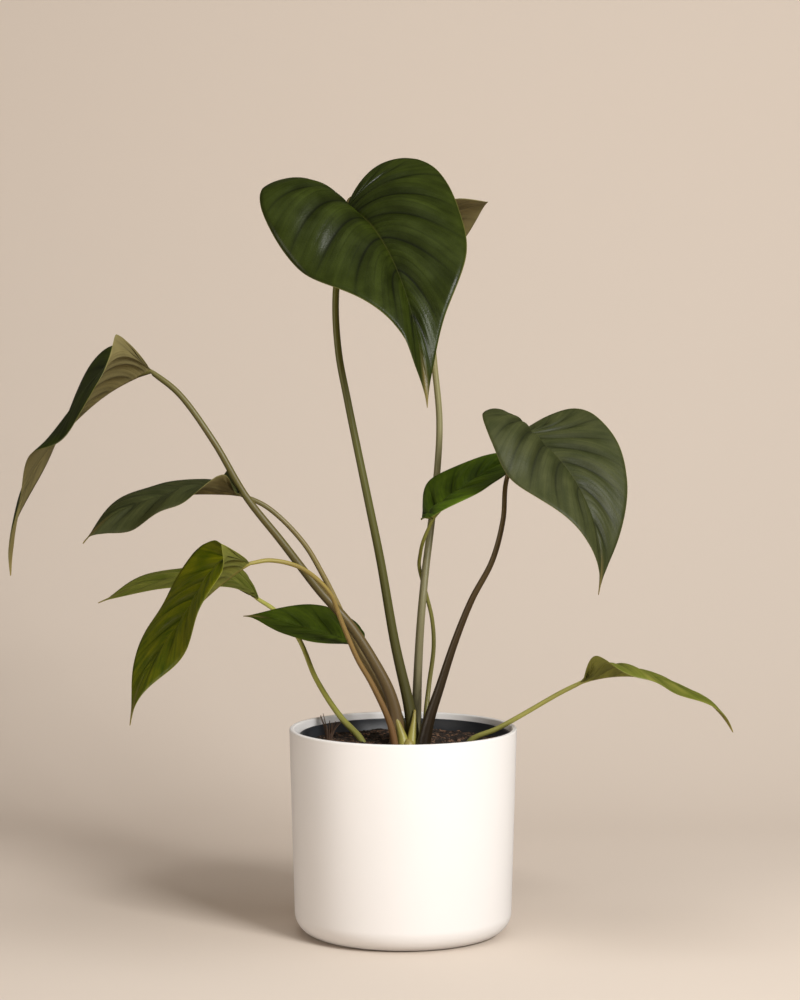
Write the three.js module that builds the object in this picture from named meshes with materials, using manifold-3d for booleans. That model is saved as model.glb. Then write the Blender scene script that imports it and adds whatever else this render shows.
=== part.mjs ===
// A potted Homalomena rubescens: ten heart-shaped leaves on long petioles.
// It grows in a nursery pot that stands inside a white cover pot.
// Millimetres, +Z up. The origin is the middle of the cover pot's underside, and the plant is seen from -Y.
import * as THREE from "three";
import { mergeVertices } from "three/addons/utils/BufferGeometryUtils.js";
import Module from "manifold-3d";

const wasm = await Module();
wasm.setup();

// Driving dimensions: pots and soil
const GAP = 0.35;
const COVER = {
  rimRadius: 70,
  baseRadius: 67,
  height: 127,
  wall: 3,
  floor: 4,
  corner: 13.5,
  lip: 1,
  sides: 44,
};
const NURSERY = {
  offset: 1.4,
  rimRadius: 65,
  rimTop: 123.4,
  rimDepth: 9,
  bodyRadius: 62.5,
  baseRadius: 48,
  wall: 1.2,
  rimExtra: 0.4,
  drains: 6,
  drainRadius: 4,
  drainCircle: 30,
  sides: 40,
};
const SOIL = { level: 117, bump: 0.9, clearance: 0.6, rings: [12, 26, 40, 53] };
const CROWN = { x: 3.5, y: -7, radius: 4.6, top: 129, root: 98, sides: 12 };
const STALK = { sides: 8, step: 18, root: 16, stub: 9, neck: 9, underJoint: 0.8, split: 0.5 };
const TUFT = { x: -46, y: 4, clod: 4, fibres: 7, height: 18, thickness: 0.9, spread: 7 };

// Driving dimensions: blades
const BLADE = { thickness: 0.8, midrib: 1.2, veinGroove: 0.45, fan: 0.22, fanPower: 1.25 };
const COLUMNS = [0, 0.07, 0.36, 0.68, 1];
const SPINE_STEPS = 80;
// The margin from the petiole to the widest place, as shares of the lobe's length and of the half width
const LOBE = [
  [0, 0],
  [-0.42, 0.1],
  [-0.86, 0.34],
  [-1, 0.6],
  [-0.68, 0.87],
];
// The margin from the widest place to the tip, as shares of the length and of the half width
const SIDE = [
  [0.03, 1],
  [0.24, 0.95],
  [0.46, 0.735],
  [0.68, 0.42],
  [0.85, 0.17],
  [0.94, 0.05],
  [1, 0],
];

const COLOURS = {
  dark: 0x2c4a26,
  mid: 0x3f6128,
  young: 0x5b7a2a,
  stalkDark: 0x55572c,
  stalkYoung: 0x97934a,
  cover: 0xf1eeea,
  nursery: 0x24262a,
  soil: 0x2b211c,
  crown: 0x9a9a4e,
  tuft: 0x5d4431,
};

// Each leaf: where the petiole meets the blade, the blade's length and half width, and how it is held.
// heading, pitch and roll turn the midrib from petiole to tip, in degrees.
// Heading 0 is +X and 90 is +Y, and pitch is upwards.
// fold lifts each half from the midrib, and curl bends it on towards its margin, in degrees.
// right and left are the halves seen from above with the tip away.
// widen scales a half, and wave and phase ripple its margin.
// ear raises its lobe: [height, place along the margin].
const LEAVES = {
  tall_front: {
    joint: [-34, 8, 445],
    length: 161,
    halfWidth: 60,
    lobe: 16,
    heading: [-64, -57, -55, -54],
    pitch: [-9, -44, -66, -82],
    roll: [-1, -14, -6, -1],
    fold: [55, 22, 31, 9],
    fullness: 0.93,
    taper: 0.72,
    waves: 2.3,
    sweep: 0.13,
    right: { curl: [-75, -43], widen: 1.17, wave: 3.5, phase: 0.6, ear: [0, 0.25] },
    left: { curl: [-43, -9], widen: 1.02, wave: -3.5, phase: 1.9, ear: [0, 0.25] },
    rows: 18,
    colour: COLOURS.dark,
    stalkColour: COLOURS.stalkDark,
    stalkRadius: [2, 3.3],
    stalk: [
      [-41, 2, 394],
      [-39.5, -1, 359],
      [-34, -2, 329],
      [-21.5, -2, 268],
      [-14, -1, 231],
      [-5, 1, 179],
      [4.5, 3.5, 135],
      [6, 3.5, 117],
    ],
  },
  tall_back: {
    joint: [13, 32, 441],
    length: 128,
    halfWidth: 46,
    lobe: 25,
    heading: [96, 93, 90, 87],
    pitch: [-11, -18, -24, -33],
    roll: [1, 0, 0, 0],
    fold: [21, 18, 14, 12],
    fullness: 0.98,
    taper: 1,
    waves: 2.6,
    sweep: 0.15,
    right: { curl: [-15, -11], widen: 0.93, wave: 3.5, phase: -0.1, ear: [0, 0.25] },
    left: { curl: [-9, -10], widen: 1.05, wave: 0.8, phase: 0.9, ear: [0, 0.25] },
    rows: 16,
    colour: COLOURS.dark,
    stalkColour: COLOURS.stalkDark,
    stalkRadius: [1.8, 2.9],
    stalk: [
      [15.5, 29, 396],
      [19, 28, 354],
      [22.5, 27, 316],
      [21.5, 25, 288],
      [17, 18, 248],
      [14, 11, 225],
      [11, 6, 194],
      [9, 10, 157],
      [8, 12, 117],
    ],
  },
  right: {
    joint: [74, -5, 309],
    length: 125,
    halfWidth: 45,
    lobe: 15,
    heading: [-50, -47, -42, -41],
    pitch: [-17, -42, -70, -100],
    roll: [26, 0, 6, 1],
    fold: [30, 16, 17, 13],
    fullness: 1.02,
    taper: 1.04,
    waves: 2.4,
    sweep: 0.24,
    right: { curl: [-74, -21], widen: 1.06, wave: 3.5, phase: 0.7, ear: [0, 0.25] },
    left: { curl: [35, -12], widen: 0.96, wave: 2.9, phase: 3.5, ear: [0, 0.25] },
    rows: 18,
    colour: COLOURS.dark,
    stalkColour: COLOURS.stalkDark,
    stalkRadius: [1.4, 3.2],
    stalk: [
      [63, -7, 280],
      [61, -8, 256],
      [54.5, -8, 231],
      [42, -8, 207],
      [32, -8, 182],
      [22.5, -8, 153],
      [16, -8, 133],
      [12.5, -7.5, 117],
    ],
  },
  middle: {
    joint: [17.5, -9.5, 257],
    length: 83,
    halfWidth: 30,
    lobe: 4,
    heading: [10, 33, 45, 53],
    pitch: [49, 33, 17, 18],
    roll: [10, -2, -16, -11],
    fold: [27, 19, 18, 14],
    fullness: 1,
    taper: 1.04,
    waves: 2.5,
    sweep: 0,
    right: { curl: [-48, -12], widen: 1, wave: 1, phase: -0.9, ear: [0, 0.25] },
    left: { curl: [-29, -3], widen: 1, wave: -3.2, phase: -2.6, ear: [0, 0.25] },
    rows: 12,
    colour: COLOURS.mid,
    stalkColour: COLOURS.stalkYoung,
    stalkRadius: [1.1, 1.6],
    stalk: [
      [12.5, -3, 243],
      [10.5, 8, 233],
      [10, 14.5, 225],
      [14, 17, 209],
      [18, 18, 192],
      [19, 17, 175],
      [16, 14, 151],
      [14, 8.5, 132],
      [14, 6, 117],
    ],
  },
  far_left: {
    joint: [-153, -16, 347.5],
    length: 169,
    halfWidth: 61,
    lobe: 3,
    heading: [181, 156, 163, 165, 171],
    pitch: [-22, -37, -49, -75, -87],
    roll: [-23, 15, 13, 12, 17],
    fold: [25, 12, 6, -1, 3],
    fullness: 1.06,
    taper: 1.01,
    waves: 2.5,
    sweep: 0.26,
    right: { curl: [12, -4], widen: 1.09, wave: 3.9, phase: 0.6, ear: [0, 0.25] },
    left: { curl: [-52, 25], widen: 1.01, wave: 4.5, phase: -0.5, ear: [4, 0.24] },
    rows: 18,
    colour: COLOURS.dark,
    stalkColour: COLOURS.stalkDark,
    stalkRadius: [1.8, 3.9],
    stalk: [
      [-136, -17, 333.5],
      [-114.5, -18, 304],
      [-95.5, -16, 271],
      [-74, -12, 243],
      [-51.5, -7, 213],
      [-32.5, -4, 191],
      [-18.5, -2, 169],
      [-8.5, -0.5, 149],
      [-4, 0.5, 131],
      [-3.5, 0.5, 117],
    ],
  },
  upper_left: {
    joint: [-99, -5, 272],
    length: 106,
    halfWidth: 41,
    lobe: 3,
    heading: [188, 193, 190, 185],
    pitch: [4, -4, -24, -53],
    roll: [0, -3, 22, 21],
    fold: [9, 10, -6, -10],
    fullness: 0.97,
    taper: 1.1,
    waves: 3,
    sweep: 0.4,
    right: { curl: [3, -17], widen: 1.03, wave: 1, phase: -0.8, ear: [9, 0.18] },
    left: { curl: [5, -41], widen: 1.07, wave: 4.5, phase: 1.9, ear: [0, 0.25] },
    rows: 16,
    colour: COLOURS.dark,
    stalkColour: COLOURS.stalkDark,
    stalkRadius: [1.5, 2.4],
    stalk: [
      [-82.5, -4, 263],
      [-61.5, -2, 242],
      [-49, 0, 221],
      [-38, 3, 198],
      [-29.5, 7, 178],
      [-20.5, 8.5, 161.5],
      [-13.5, 9.5, 147],
      [-7, 9.5, 132],
      [-5, 9.5, 117],
    ],
  },
  front_left: {
    joint: [-91.5, -57, 234.5],
    length: 123,
    halfWidth: 43,
    lobe: 3,
    heading: [185, 196, 203, 206],
    pitch: [-33, -45, -56, -81],
    roll: [-12, -5, 5, 9],
    fold: [34, 26, 6, 11],
    fullness: 0.99,
    taper: 1.04,
    waves: 2.5,
    sweep: 0.39,
    right: { curl: [6, -36], widen: 1.01, wave: 3.2, phase: -3.1, ear: [7.5, 0.23] },
    left: { curl: [-52, -34], widen: 1.06, wave: 2.3, phase: 0.1, ear: [4, 0.2] },
    rows: 16,
    colour: COLOURS.young,
    stalkColour: COLOURS.stalkYoung,
    stalkRadius: [1.3, 1.8],
    stalk: [
      [-79, -50, 235],
      [-61, -41, 229.5],
      [-44.5, -32, 214],
      [-37.5, -26, 196],
      [-27.5, -20, 171.5],
      [-19.5, -16, 157],
      [-8, -11, 131],
      [-5, -10, 117],
    ],
  },
  back_left: {
    joint: [-92, 64, 200.5],
    length: 108,
    halfWidth: 35,
    lobe: 3,
    heading: [184, 186, 185, 185],
    pitch: [41, 5, -15, -25],
    roll: [1, 6, 11, 14],
    fold: [2, 4, 1, 1],
    fullness: 1,
    taper: 1.02,
    waves: 2.4,
    sweep: 0.36,
    right: { curl: [5, -10], widen: 1.02, wave: 2.5, phase: 2.4, ear: [0, 0.25] },
    left: { curl: [3, -22], widen: 1.03, wave: 0.9, phase: -2.2, ear: [-1, 0.26] },
    rows: 14,
    colour: COLOURS.mid,
    stalkColour: COLOURS.stalkYoung,
    stalkRadius: [1.4, 1.9],
    stalk: [
      [-81, 61, 192.5],
      [-66.5, 56, 176],
      [-54.5, 40, 151.5],
      [-39, 22, 130.5],
      [-26, 13, 117.5],
    ],
  },
  low_left: {
    joint: [-27, 38, 175],
    length: 78,
    halfWidth: 32,
    lobe: 6,
    heading: [174, 170, 164, 162],
    pitch: [13, 15, 11, 0],
    roll: [6, 13, 21, 17],
    fold: [12, 11, 12, 11],
    fullness: 1.03,
    taper: 1.06,
    waves: 2.4,
    sweep: 0.36,
    right: { curl: [-10, 3], widen: 1.01, wave: -0.1, phase: 0.6, ear: [-1, 0.26] },
    left: { curl: [-1, -9], widen: 1.02, wave: -0.8, phase: 2.2, ear: [-1, 0.25] },
    rows: 12,
    colour: COLOURS.mid,
    stalkColour: COLOURS.stalkYoung,
    stalkRadius: [1.2, 1.6],
    stalk: [
      [-21.5, 34, 169],
      [-17, 30, 160],
      [-9.5, 22, 146],
      [-1.5, 18, 131.5],
      [1.5, 17, 117],
    ],
  },
  low_right: {
    joint: [108.5, -19, 158.5],
    length: 106,
    halfWidth: 37,
    lobe: 6,
    heading: [-10, -23, -17, -14],
    pitch: [17, -3, -25, -61],
    roll: [4, 10, 7, 11],
    fold: [6, 13, 6, -4, 9, 2],
    fullness: 1.02,
    taper: 1.03,
    waves: 2.9,
    sweep: 0.6,
    right: { curl: [5, -21], widen: 1.2, wave: 3.3, phase: 3.2, ear: [0, 0.25] },
    left: { curl: [-11, -9], widen: 1.03, wave: 1.1, phase: 3.1, ear: [0, 0.25] },
    rows: 14,
    colour: COLOURS.young,
    stalkColour: COLOURS.stalkYoung,
    stalkRadius: [1.3, 1.5],
    stalk: [
      [96, -14, 150.5],
      [78, -5, 138.5],
      [66.5, 0, 131],
      [57, 5, 125],
      [42.5, 13, 117.5],
    ],
  },
};

const radians = THREE.MathUtils.degToRad;

// A smooth curve through evenly spaced values, read at s from 0 to 1
function along(values, s) {
  const last = values.length - 1;
  const place = Math.min(Math.max(s, 0), 1) * last;
  const i = Math.min(Math.floor(place), last - 1);
  const f = place - i;
  const a = values[Math.max(i - 1, 0)];
  const b = values[i];
  const c = values[i + 1];
  const d = values[Math.min(i + 2, last)];
  return b + 0.5 * f * (c - a + f * (2 * a - 5 * b + 4 * c - d + f * (3 * (b - c) + d - a)));
}

function vertexGeometry(points, triangles) {
  const geometry = new THREE.BufferGeometry();
  geometry.setAttribute("position", new THREE.Float32BufferAttribute(points.flat(), 3));
  geometry.setIndex(triangles.flat());
  return geometry;
}

// Points that fall together become one, and triangles that they flatten are dropped
function closed(geometry) {
  for (const name of ["normal", "uv"]) geometry.deleteAttribute(name);
  const merged = mergeVertices(geometry, 1e-3);
  const from = Array.from(merged.index.array);
  const kept = [];
  for (let i = 0; i < from.length; i += 3) {
    const [a, b, c] = from.slice(i, i + 3);
    if (a !== b && b !== c && c !== a) kept.push(a, b, c);
  }
  merged.setIndex(kept);
  return merged;
}

function solid(geometry) {
  const merged = closed(geometry);
  return new wasm.Manifold(
    new wasm.Mesh({
      numProp: 3,
      vertProperties: new Float32Array(merged.attributes.position.array),
      triVerts: new Uint32Array(merged.index.array),
    }),
  );
}

function geometryOf(body) {
  const { numProp, vertProperties, triVerts } = body.getMesh();
  const points = [];
  for (let i = 0; i < vertProperties.length; i += numProp)
    points.push(Array.from(vertProperties.slice(i, i + 3)));
  return vertexGeometry(points, Array.from(triVerts));
}

function mesh(name, geometry, color, roughness) {
  const made = new THREE.Mesh(geometry, new THREE.MeshStandardMaterial({ color, roughness, metalness: 0 }));
  made.name = name;
  return made;
}

// A round stem through points, with flat ends
// grow makes it that much bigger all over, for the hole that it stands in.
function taperedTube(points, radiusAt, steps, sides, grow = 0) {
  const curve = new THREE.CatmullRomCurve3(
    points.map((p) => new THREE.Vector3(...p)),
    false,
    "centripetal",
  );
  const frames = curve.computeFrenetFrames(steps, false);
  const rings = [];
  for (let i = 0; i <= steps; i++) {
    const centre = curve.getPointAt(i / steps);
    if (i === 0) centre.addScaledVector(frames.tangents[i], -grow);
    if (i === steps) centre.addScaledVector(frames.tangents[i], grow);
    const radius = radiusAt(i / steps) + grow;
    for (let k = 0; k < sides; k++) {
      const angle = (2 * Math.PI * k) / sides;
      const spoke = frames.normals[i].clone().multiplyScalar(Math.cos(angle) * radius);
      spoke.addScaledVector(frames.binormals[i], Math.sin(angle) * radius);
      rings.push(spoke.add(centre).toArray());
    }
  }
  const triangles = [];
  for (let i = 0; i < steps; i++)
    for (let k = 0; k < sides; k++) {
      const a = i * sides + k;
      const b = i * sides + ((k + 1) % sides);
      triangles.push([a, b, b + sides], [a, b + sides, a + sides]);
    }
  const end = steps * sides;
  for (let k = 1; k < sides - 1; k++) {
    triangles.push([0, k + 1, k]);
    triangles.push([end, end + k, end + k + 1]);
  }
  return vertexGeometry(rings, triangles);
}

// The midrib's line with its side and up directions, from behind the joint to the tip
function midrib(leaf) {
  const start = -leaf.lobe * 1.4 - 2;
  const step = (leaf.length * 1.02 - start) / SPINE_STEPS;
  const stations = [];
  let at = new THREE.Vector3();
  let before = null;
  for (let i = 0; i <= SPINE_STEPS; i++) {
    const u = start + i * step;
    const q = u / leaf.length;
    const heading = radians(along(leaf.heading, q));
    const pitch = radians(along(leaf.pitch, q));
    const roll = radians(along(leaf.roll, q));
    const ahead = new THREE.Vector3(
      Math.cos(pitch) * Math.cos(heading),
      Math.cos(pitch) * Math.sin(heading),
      Math.sin(pitch),
    );
    const level = new THREE.Vector3(Math.sin(heading), -Math.cos(heading), 0);
    const above = level.clone().cross(ahead);
    const side = level.clone().multiplyScalar(Math.cos(roll)).addScaledVector(above, Math.sin(roll));
    const up = above.multiplyScalar(Math.cos(roll)).addScaledVector(level, -Math.sin(roll));
    if (before) at = at.clone().addScaledVector(before.ahead.clone().add(ahead), step / 2);
    before = { u, at, ahead, side, up };
    stations.push(before);
  }
  const joint = new THREE.Vector3(...leaf.joint);
  const shift = joint.sub(stationAt(stations, 0).at);
  for (const station of stations) station.at = station.at.clone().add(shift);
  return stations;
}

function stationAt(stations, u) {
  const step = stations[1].u - stations[0].u;
  const place = Math.min(Math.max((u - stations[0].u) / step, 0), stations.length - 1.001);
  const i = Math.floor(place);
  const f = place - i;
  const a = stations[i];
  const b = stations[i + 1];
  return {
    at: a.at.clone().lerp(b.at, f),
    side: a.side.clone().lerp(b.side, f),
    up: a.up.clone().lerp(b.up, f),
  };
}

// A place on the blade: u along the midrib, v out from it, plus to the right, raised by rise
function bladePoint(leaf, stations, u, v, rise) {
  const half = v > 0 ? leaf.right : leaf.left;
  const near = Math.min(Math.max(u / leaf.length / 0.9, 0), 1);
  const swept = u + leaf.sweep * Math.abs(v) * (1 - near * near * (3 - 2 * near));
  const { at, side, up } = stationAt(stations, swept);
  const q = swept / leaf.length;
  const fold = radians(along(leaf.fold, q));
  const curl = radians(along(half.curl, q));
  const bend = Math.abs(curl) < 1e-3 ? 1e-3 : curl;
  const turned = (bend * Math.abs(v)) / leaf.halfWidth;
  const out = ((Math.sin(fold + turned) - Math.sin(fold)) / bend) * leaf.halfWidth;
  const lift = ((Math.cos(fold) - Math.cos(fold + turned)) / bend) * leaf.halfWidth;
  return at.addScaledVector(side, Math.sign(v) * out).addScaledVector(up, lift + rise);
}

// The margin of one half, in evenly spaced shares of the way from the joint to the tip
function margin(leaf, half, rows) {
  const corners = LOBE.map(([a, b]) => [a * leaf.lobe, b * leaf.halfWidth * half.widen]);
  const full = { 1: leaf.fullness, 2: leaf.fullness, 3: leaf.taper, 4: leaf.taper, 5: leaf.taper };
  for (const [i, [a, b]] of SIDE.entries())
    corners.push([a * leaf.length, b * leaf.halfWidth * half.widen * (full[i] ?? 1)]);
  const reach = [0];
  for (let i = 1; i < corners.length; i++) {
    const [dx, dy] = [corners[i][0] - corners[i - 1][0], corners[i][1] - corners[i - 1][1]];
    reach.push(reach[i - 1] + Math.sqrt(Math.hypot(dx, dy)));
  }
  const line = [];
  for (let row = 0; row <= rows; row++) {
    const goal = (row / rows) * reach.at(-1);
    let i = 0;
    while (i < reach.length - 2 && reach[i + 1] < goal) i++;
    const s = (i + (goal - reach[i]) / (reach[i + 1] - reach[i])) / (corners.length - 1);
    const u = along(
      corners.map((c) => c[0]),
      s,
    );
    const v = along(
      corners.map((c) => c[1]),
      s,
    );
    line.push([u, Math.max(v, 0)]);
  }
  return line;
}

// The blade's mid surface as rows along the side veins: every other row is a vein, sunk into the upper face
function bladeGrid(leaf) {
  const grid = [];
  const margins = { right: margin(leaf, leaf.right, leaf.rows), left: margin(leaf, leaf.left, leaf.rows) };
  for (let row = 0; row <= leaf.rows; row++) {
    const t = row / leaf.rows;
    const root = leaf.length * Math.max(0, (t - BLADE.fan) / (1 - BLADE.fan)) ** BLADE.fanPower;
    const columns = [...COLUMNS.slice(1).reverse().map((c) => -c), ...COLUMNS];
    grid.push(
      columns.map((column) => {
        const c = Math.abs(column);
        const name = column > 0 ? "right" : "left";
        const half = leaf[name];
        const [edgeU, edgeV] = margins[name][row];
        const bendU = root + 0.3 * (edgeU - root);
        const u = (1 - c) ** 2 * root + 2 * c * (1 - c) * bendU + c * c * edgeU;
        const v = 2 * c * (1 - c) * 0.5 * edgeV + c * c * edgeV;
        if (v < 1e-6) return { u, v: 0, rise: 0 };
        const swell = Math.sin(Math.PI * t);
        const ripple = half.wave * Math.sin(2 * Math.PI * leaf.waves * t + half.phase) * swell ** 0.7;
        const ear = half.ear[0] * Math.exp(-(((t - half.ear[1]) / 0.07) ** 2));
        const groove = BLADE.veinGroove * Math.sin(Math.PI * Math.min(c * 1.15, 1)) * swell;
        return { u, v: Math.sign(column) * v, rise: (ripple + ear) * c * c + (row % 2 ? -groove : groove) };
      }),
    );
  }
  return grid;
}

function bladeNormal(leaf, stations, { u, v }) {
  if (Math.abs(v) < 1e-6) return stationAt(stations, u).up.normalize();
  const h = 0.5;
  const lengthwise = bladePoint(leaf, stations, u + h, v, 0).sub(bladePoint(leaf, stations, u - h, v, 0));
  const inner = Math.sign(v) * Math.max(Math.abs(v) - h, 1e-3);
  const across = bladePoint(leaf, stations, u, Math.sign(v) * (Math.abs(v) + h), 0);
  across.sub(bladePoint(leaf, stations, u, inner, 0)).multiplyScalar(Math.sign(v));
  return across.cross(lengthwise).normalize();
}

// One blade as a closed solid, both faces split alike, with the midrib standing out below
function bladeGeometry(leaf, stations) {
  const grid = bladeGrid(leaf);
  const wide = grid[0].length;
  const upper = [];
  const lower = [];
  for (const place of grid.flat()) {
    const middle = bladePoint(leaf, stations, place.u, place.v, place.rise);
    const out = Math.abs(place.v);
    const normal = stationAt(stations, place.u).up;
    normal.lerp(bladeNormal(leaf, stations, place), Math.min(out / 4, 1)).normalize();
    const rib = out < 1e-6 ? BLADE.midrib * Math.max(0, 1 - place.u / leaf.length) ** 0.7 : 0;
    upper.push(middle.clone().addScaledVector(normal, BLADE.thickness / 2).toArray());
    lower.push(middle.clone().addScaledVector(normal, -BLADE.thickness / 2 - rib).toArray());
  }
  const down = upper.length;
  const triangles = [];
  for (let row = 0; row < grid.length - 1; row++) {
    for (let column = 0; column < wide - 1; column++) {
      const a = row * wide + column;
      const [b, c, d] = [a + 1, a + wide + 1, a + wide];
      const faces = column < (wide - 1) / 2 ? [[a, b, d], [b, c, d]] : [[a, b, c], [a, c, d]];
      for (const [x, y, z] of faces) triangles.push([x, y, z], [x + down, z + down, y + down]);
    }
    const [left, right] = [row * wide, row * wide + wide - 1];
    triangles.push([left, left + wide, left + wide + down], [left, left + wide + down, left + down]);
    triangles.push([right, right + down, right + wide + down], [right, right + wide + down, right + wide]);
  }
  return vertexGeometry([...upper, ...lower], triangles);
}

// The petiole's line from just under the joint down to its foot in the soil
function petioleCurve(leaf, stations) {
  const { at, up } = stationAt(stations, 0);
  const foot = new THREE.Vector3(...leaf.stalk.at(-1));
  const lean = foot.clone().sub(new THREE.Vector3(...leaf.stalk.at(-2))).normalize();
  const points = leaf.stalk.map((p) => new THREE.Vector3(...p));
  points.unshift(at.addScaledVector(up, -STALK.underJoint));
  const tilt = Math.hypot(lean.x, lean.y);
  points.push(new THREE.Vector3(foot.x + 5 * tilt * lean.x, foot.y + 5 * tilt * lean.y, foot.z - 6));
  points.push(new THREE.Vector3(foot.x + 7 * tilt * lean.x, foot.y + 7 * tilt * lean.y, foot.z - STALK.root));
  return new THREE.CatmullRomCurve3(points, false, "centripetal");
}

function between(curve, from, to, count) {
  const length = curve.getLength();
  const points = [];
  for (let i = 0; i <= count; i++) {
    const distance = from + ((to - from) * i) / count;
    points.push(curve.getPointAt(distance / length).toArray());
  }
  return points;
}

// The blade with the top of its petiole grown into it, and the rest of the petiole
function leafSolids(leaf) {
  const stations = midrib(leaf);
  const curve = petioleCurve(leaf, stations);
  const length = curve.getLength();
  const [thin, thick] = leaf.stalkRadius;
  const neck = stationAt(stations, STALK.neck);
  const inside = neck.at.addScaledVector(neck.up, -STALK.underJoint).toArray();
  const stubPoints = [inside, ...between(curve, 0, STALK.stub, 6)];
  const stub = taperedTube(stubPoints, (s) => thin * (0.6 + 0.4 * s), 6, STALK.sides);
  const stalkPoints = between(curve, STALK.stub + STALK.split, length, 40);
  const radiusAt = (s) => thin + (thick - thin) * s ** 1.6;
  const steps = Math.max(6, Math.round(length / STALK.step));
  const blade = solid(bladeGeometry(leaf, stations)).add(solid(stub));
  return {
    blade: geometryOf(blade),
    stalk: taperedTube(stalkPoints, radiusAt, steps, STALK.sides),
    hole: taperedTube(stalkPoints, radiusAt, steps, STALK.sides, GAP),
  };
}

// A profile of [radius, height] points turned round the vertical
function turned(profile, sides) {
  const geometry = new THREE.LatheGeometry(
    profile.map(([r, z]) => new THREE.Vector2(r, z)),
    sides,
  );
  return closed(geometry.rotateX(Math.PI / 2));
}

// Points of an arc in a profile, from one angle to another in degrees
function arc(centre, radius, from, to, steps) {
  const points = [];
  for (let i = 0; i <= steps; i++) {
    const angle = radians(from + ((to - from) * i) / steps);
    points.push([centre[0] + radius * Math.cos(angle), centre[1] + radius * Math.sin(angle)]);
  }
  return points;
}

function coverPot() {
  const { rimRadius, baseRadius, height, wall, floor, corner, lip, sides } = COVER;
  const inner = corner - wall;
  const profile = [
    [0, 0],
    ...arc([baseRadius - corner, corner], corner, -90, 0, 4),
    ...arc([rimRadius - lip, height - lip], lip, 0, 90, 2),
    ...arc([rimRadius - wall + lip, height - lip], lip, 90, 180, 2),
    ...arc([baseRadius - wall - inner, floor + inner], inner, 0, -90, 3),
    [0, floor],
  ];
  return turned(profile, sides);
}

// The nursery pot stands inside the cover pot, a little off its middle, with holes in its floor
function nurseryPot() {
  const { rimRadius, rimTop, rimDepth, rimExtra, bodyRadius, baseRadius, wall, sides } = NURSERY;
  const stand = COVER.floor + GAP;
  const shoulder = rimTop - rimDepth;
  const profile = [
    [0, stand],
    [baseRadius - 2, stand],
    [baseRadius, stand + 2],
    [bodyRadius, shoulder],
    [rimRadius, shoulder + 1.5],
    [rimRadius, rimTop - 0.5],
    [rimRadius - 0.5, rimTop],
    [rimRadius - wall - rimExtra, rimTop],
    [rimRadius - wall - rimExtra, shoulder + 2.5],
    [bodyRadius - wall, shoulder],
    [baseRadius - wall - 1, stand + wall],
    [0, stand + wall],
  ];
  let body = solid(turned(profile, sides));
  for (let i = 0; i < NURSERY.drains; i++) {
    const angle = (2 * Math.PI * i) / NURSERY.drains;
    const drill = new THREE.CylinderGeometry(NURSERY.drainRadius, NURSERY.drainRadius, 6, 10);
    drill.rotateX(Math.PI / 2);
    drill.translate(Math.cos(angle) * NURSERY.drainCircle, Math.sin(angle) * NURSERY.drainCircle, stand);
    body = body.subtract(solid(drill));
  }
  return geometryOf(body).translate(NURSERY.offset, 0, 0);
}

// The crumbly top of the soil, a millimetre up or down
function soilHeight(x, y) {
  const rough = Math.sin(x * 0.21 + 1.3) * Math.cos(y * 0.17) + 0.6 * Math.sin(x * 0.43 - y * 0.37);
  return SOIL.level + SOIL.bump * 0.6 * rough;
}

function soilBody(holes) {
  const shoulder = NURSERY.rimTop - NURSERY.rimDepth;
  const rimInside = NURSERY.rimRadius - NURSERY.wall - NURSERY.rimExtra - SOIL.clearance;
  const bodyInside = NURSERY.bodyRadius - NURSERY.wall - SOIL.clearance;
  const baseInside = NURSERY.baseRadius - NURSERY.wall - 1 - SOIL.clearance;
  const bottom = COVER.floor + GAP + NURSERY.wall + SOIL.clearance;
  const rings = SOIL.rings.map((r) => [r, null]);
  rings.push([rimInside, SOIL.level + 0.5], [bodyInside, shoulder], [baseInside, bottom]);
  const points = [[0, 0, soilHeight(0, 0)]];
  for (const [r, z] of rings)
    for (let k = 0; k < NURSERY.sides; k++) {
      const angle = (2 * Math.PI * k) / NURSERY.sides;
      const [x, y] = [r * Math.cos(angle), r * Math.sin(angle)];
      points.push([x, y, z ?? soilHeight(x, y)]);
    }
  points.push([0, 0, bottom]);
  const triangles = [];
  const last = points.length - 1;
  for (let k = 0; k < NURSERY.sides; k++) {
    const next = (k + 1) % NURSERY.sides;
    triangles.push([0, 1 + k, 1 + next]);
    for (let ring = 0; ring < rings.length - 1; ring++) {
      const [a, b] = [1 + ring * NURSERY.sides + k, 1 + ring * NURSERY.sides + next];
      triangles.push([a, a + NURSERY.sides, b + NURSERY.sides], [a, b + NURSERY.sides, b]);
    }
    const foot = 1 + (rings.length - 1) * NURSERY.sides;
    triangles.push([last, foot + next, foot + k]);
  }
  let body = solid(vertexGeometry(points, triangles).translate(NURSERY.offset, 0, 0));
  for (const hole of holes) body = body.subtract(solid(hole));
  return geometryOf(body);
}

// The short stem that the petioles spring from
function crown(grow) {
  const { radius, top, root, sides } = CROWN;
  const r = radius + grow;
  const profile = [
    [0, root - grow],
    [r * 0.8, root - grow],
    [r, root + 7],
    [r, top - 9],
    [r * 0.8, top - 3.5],
    [r * 0.4, top - 0.7 + grow],
    [0, top + grow],
  ];
  return turned(profile, sides).translate(CROWN.x, CROWN.y, 0);
}

// Dry fibres of an old leaf base, standing in a small clod
function tuftClod(grow) {
  const level = SOIL.level;
  const radius = TUFT.clod + grow;
  const profile = [
    [0, level - 3 - grow],
    [radius * 0.8, level - 3 - grow],
    [radius, level - 1],
    [radius, level + 1.2 + grow],
    [radius * 0.5, level + 2.4 + grow],
    [0, level + 2.7 + grow],
  ];
  return turned(profile, 8).translate(TUFT.x, TUFT.y, 0);
}

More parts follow.
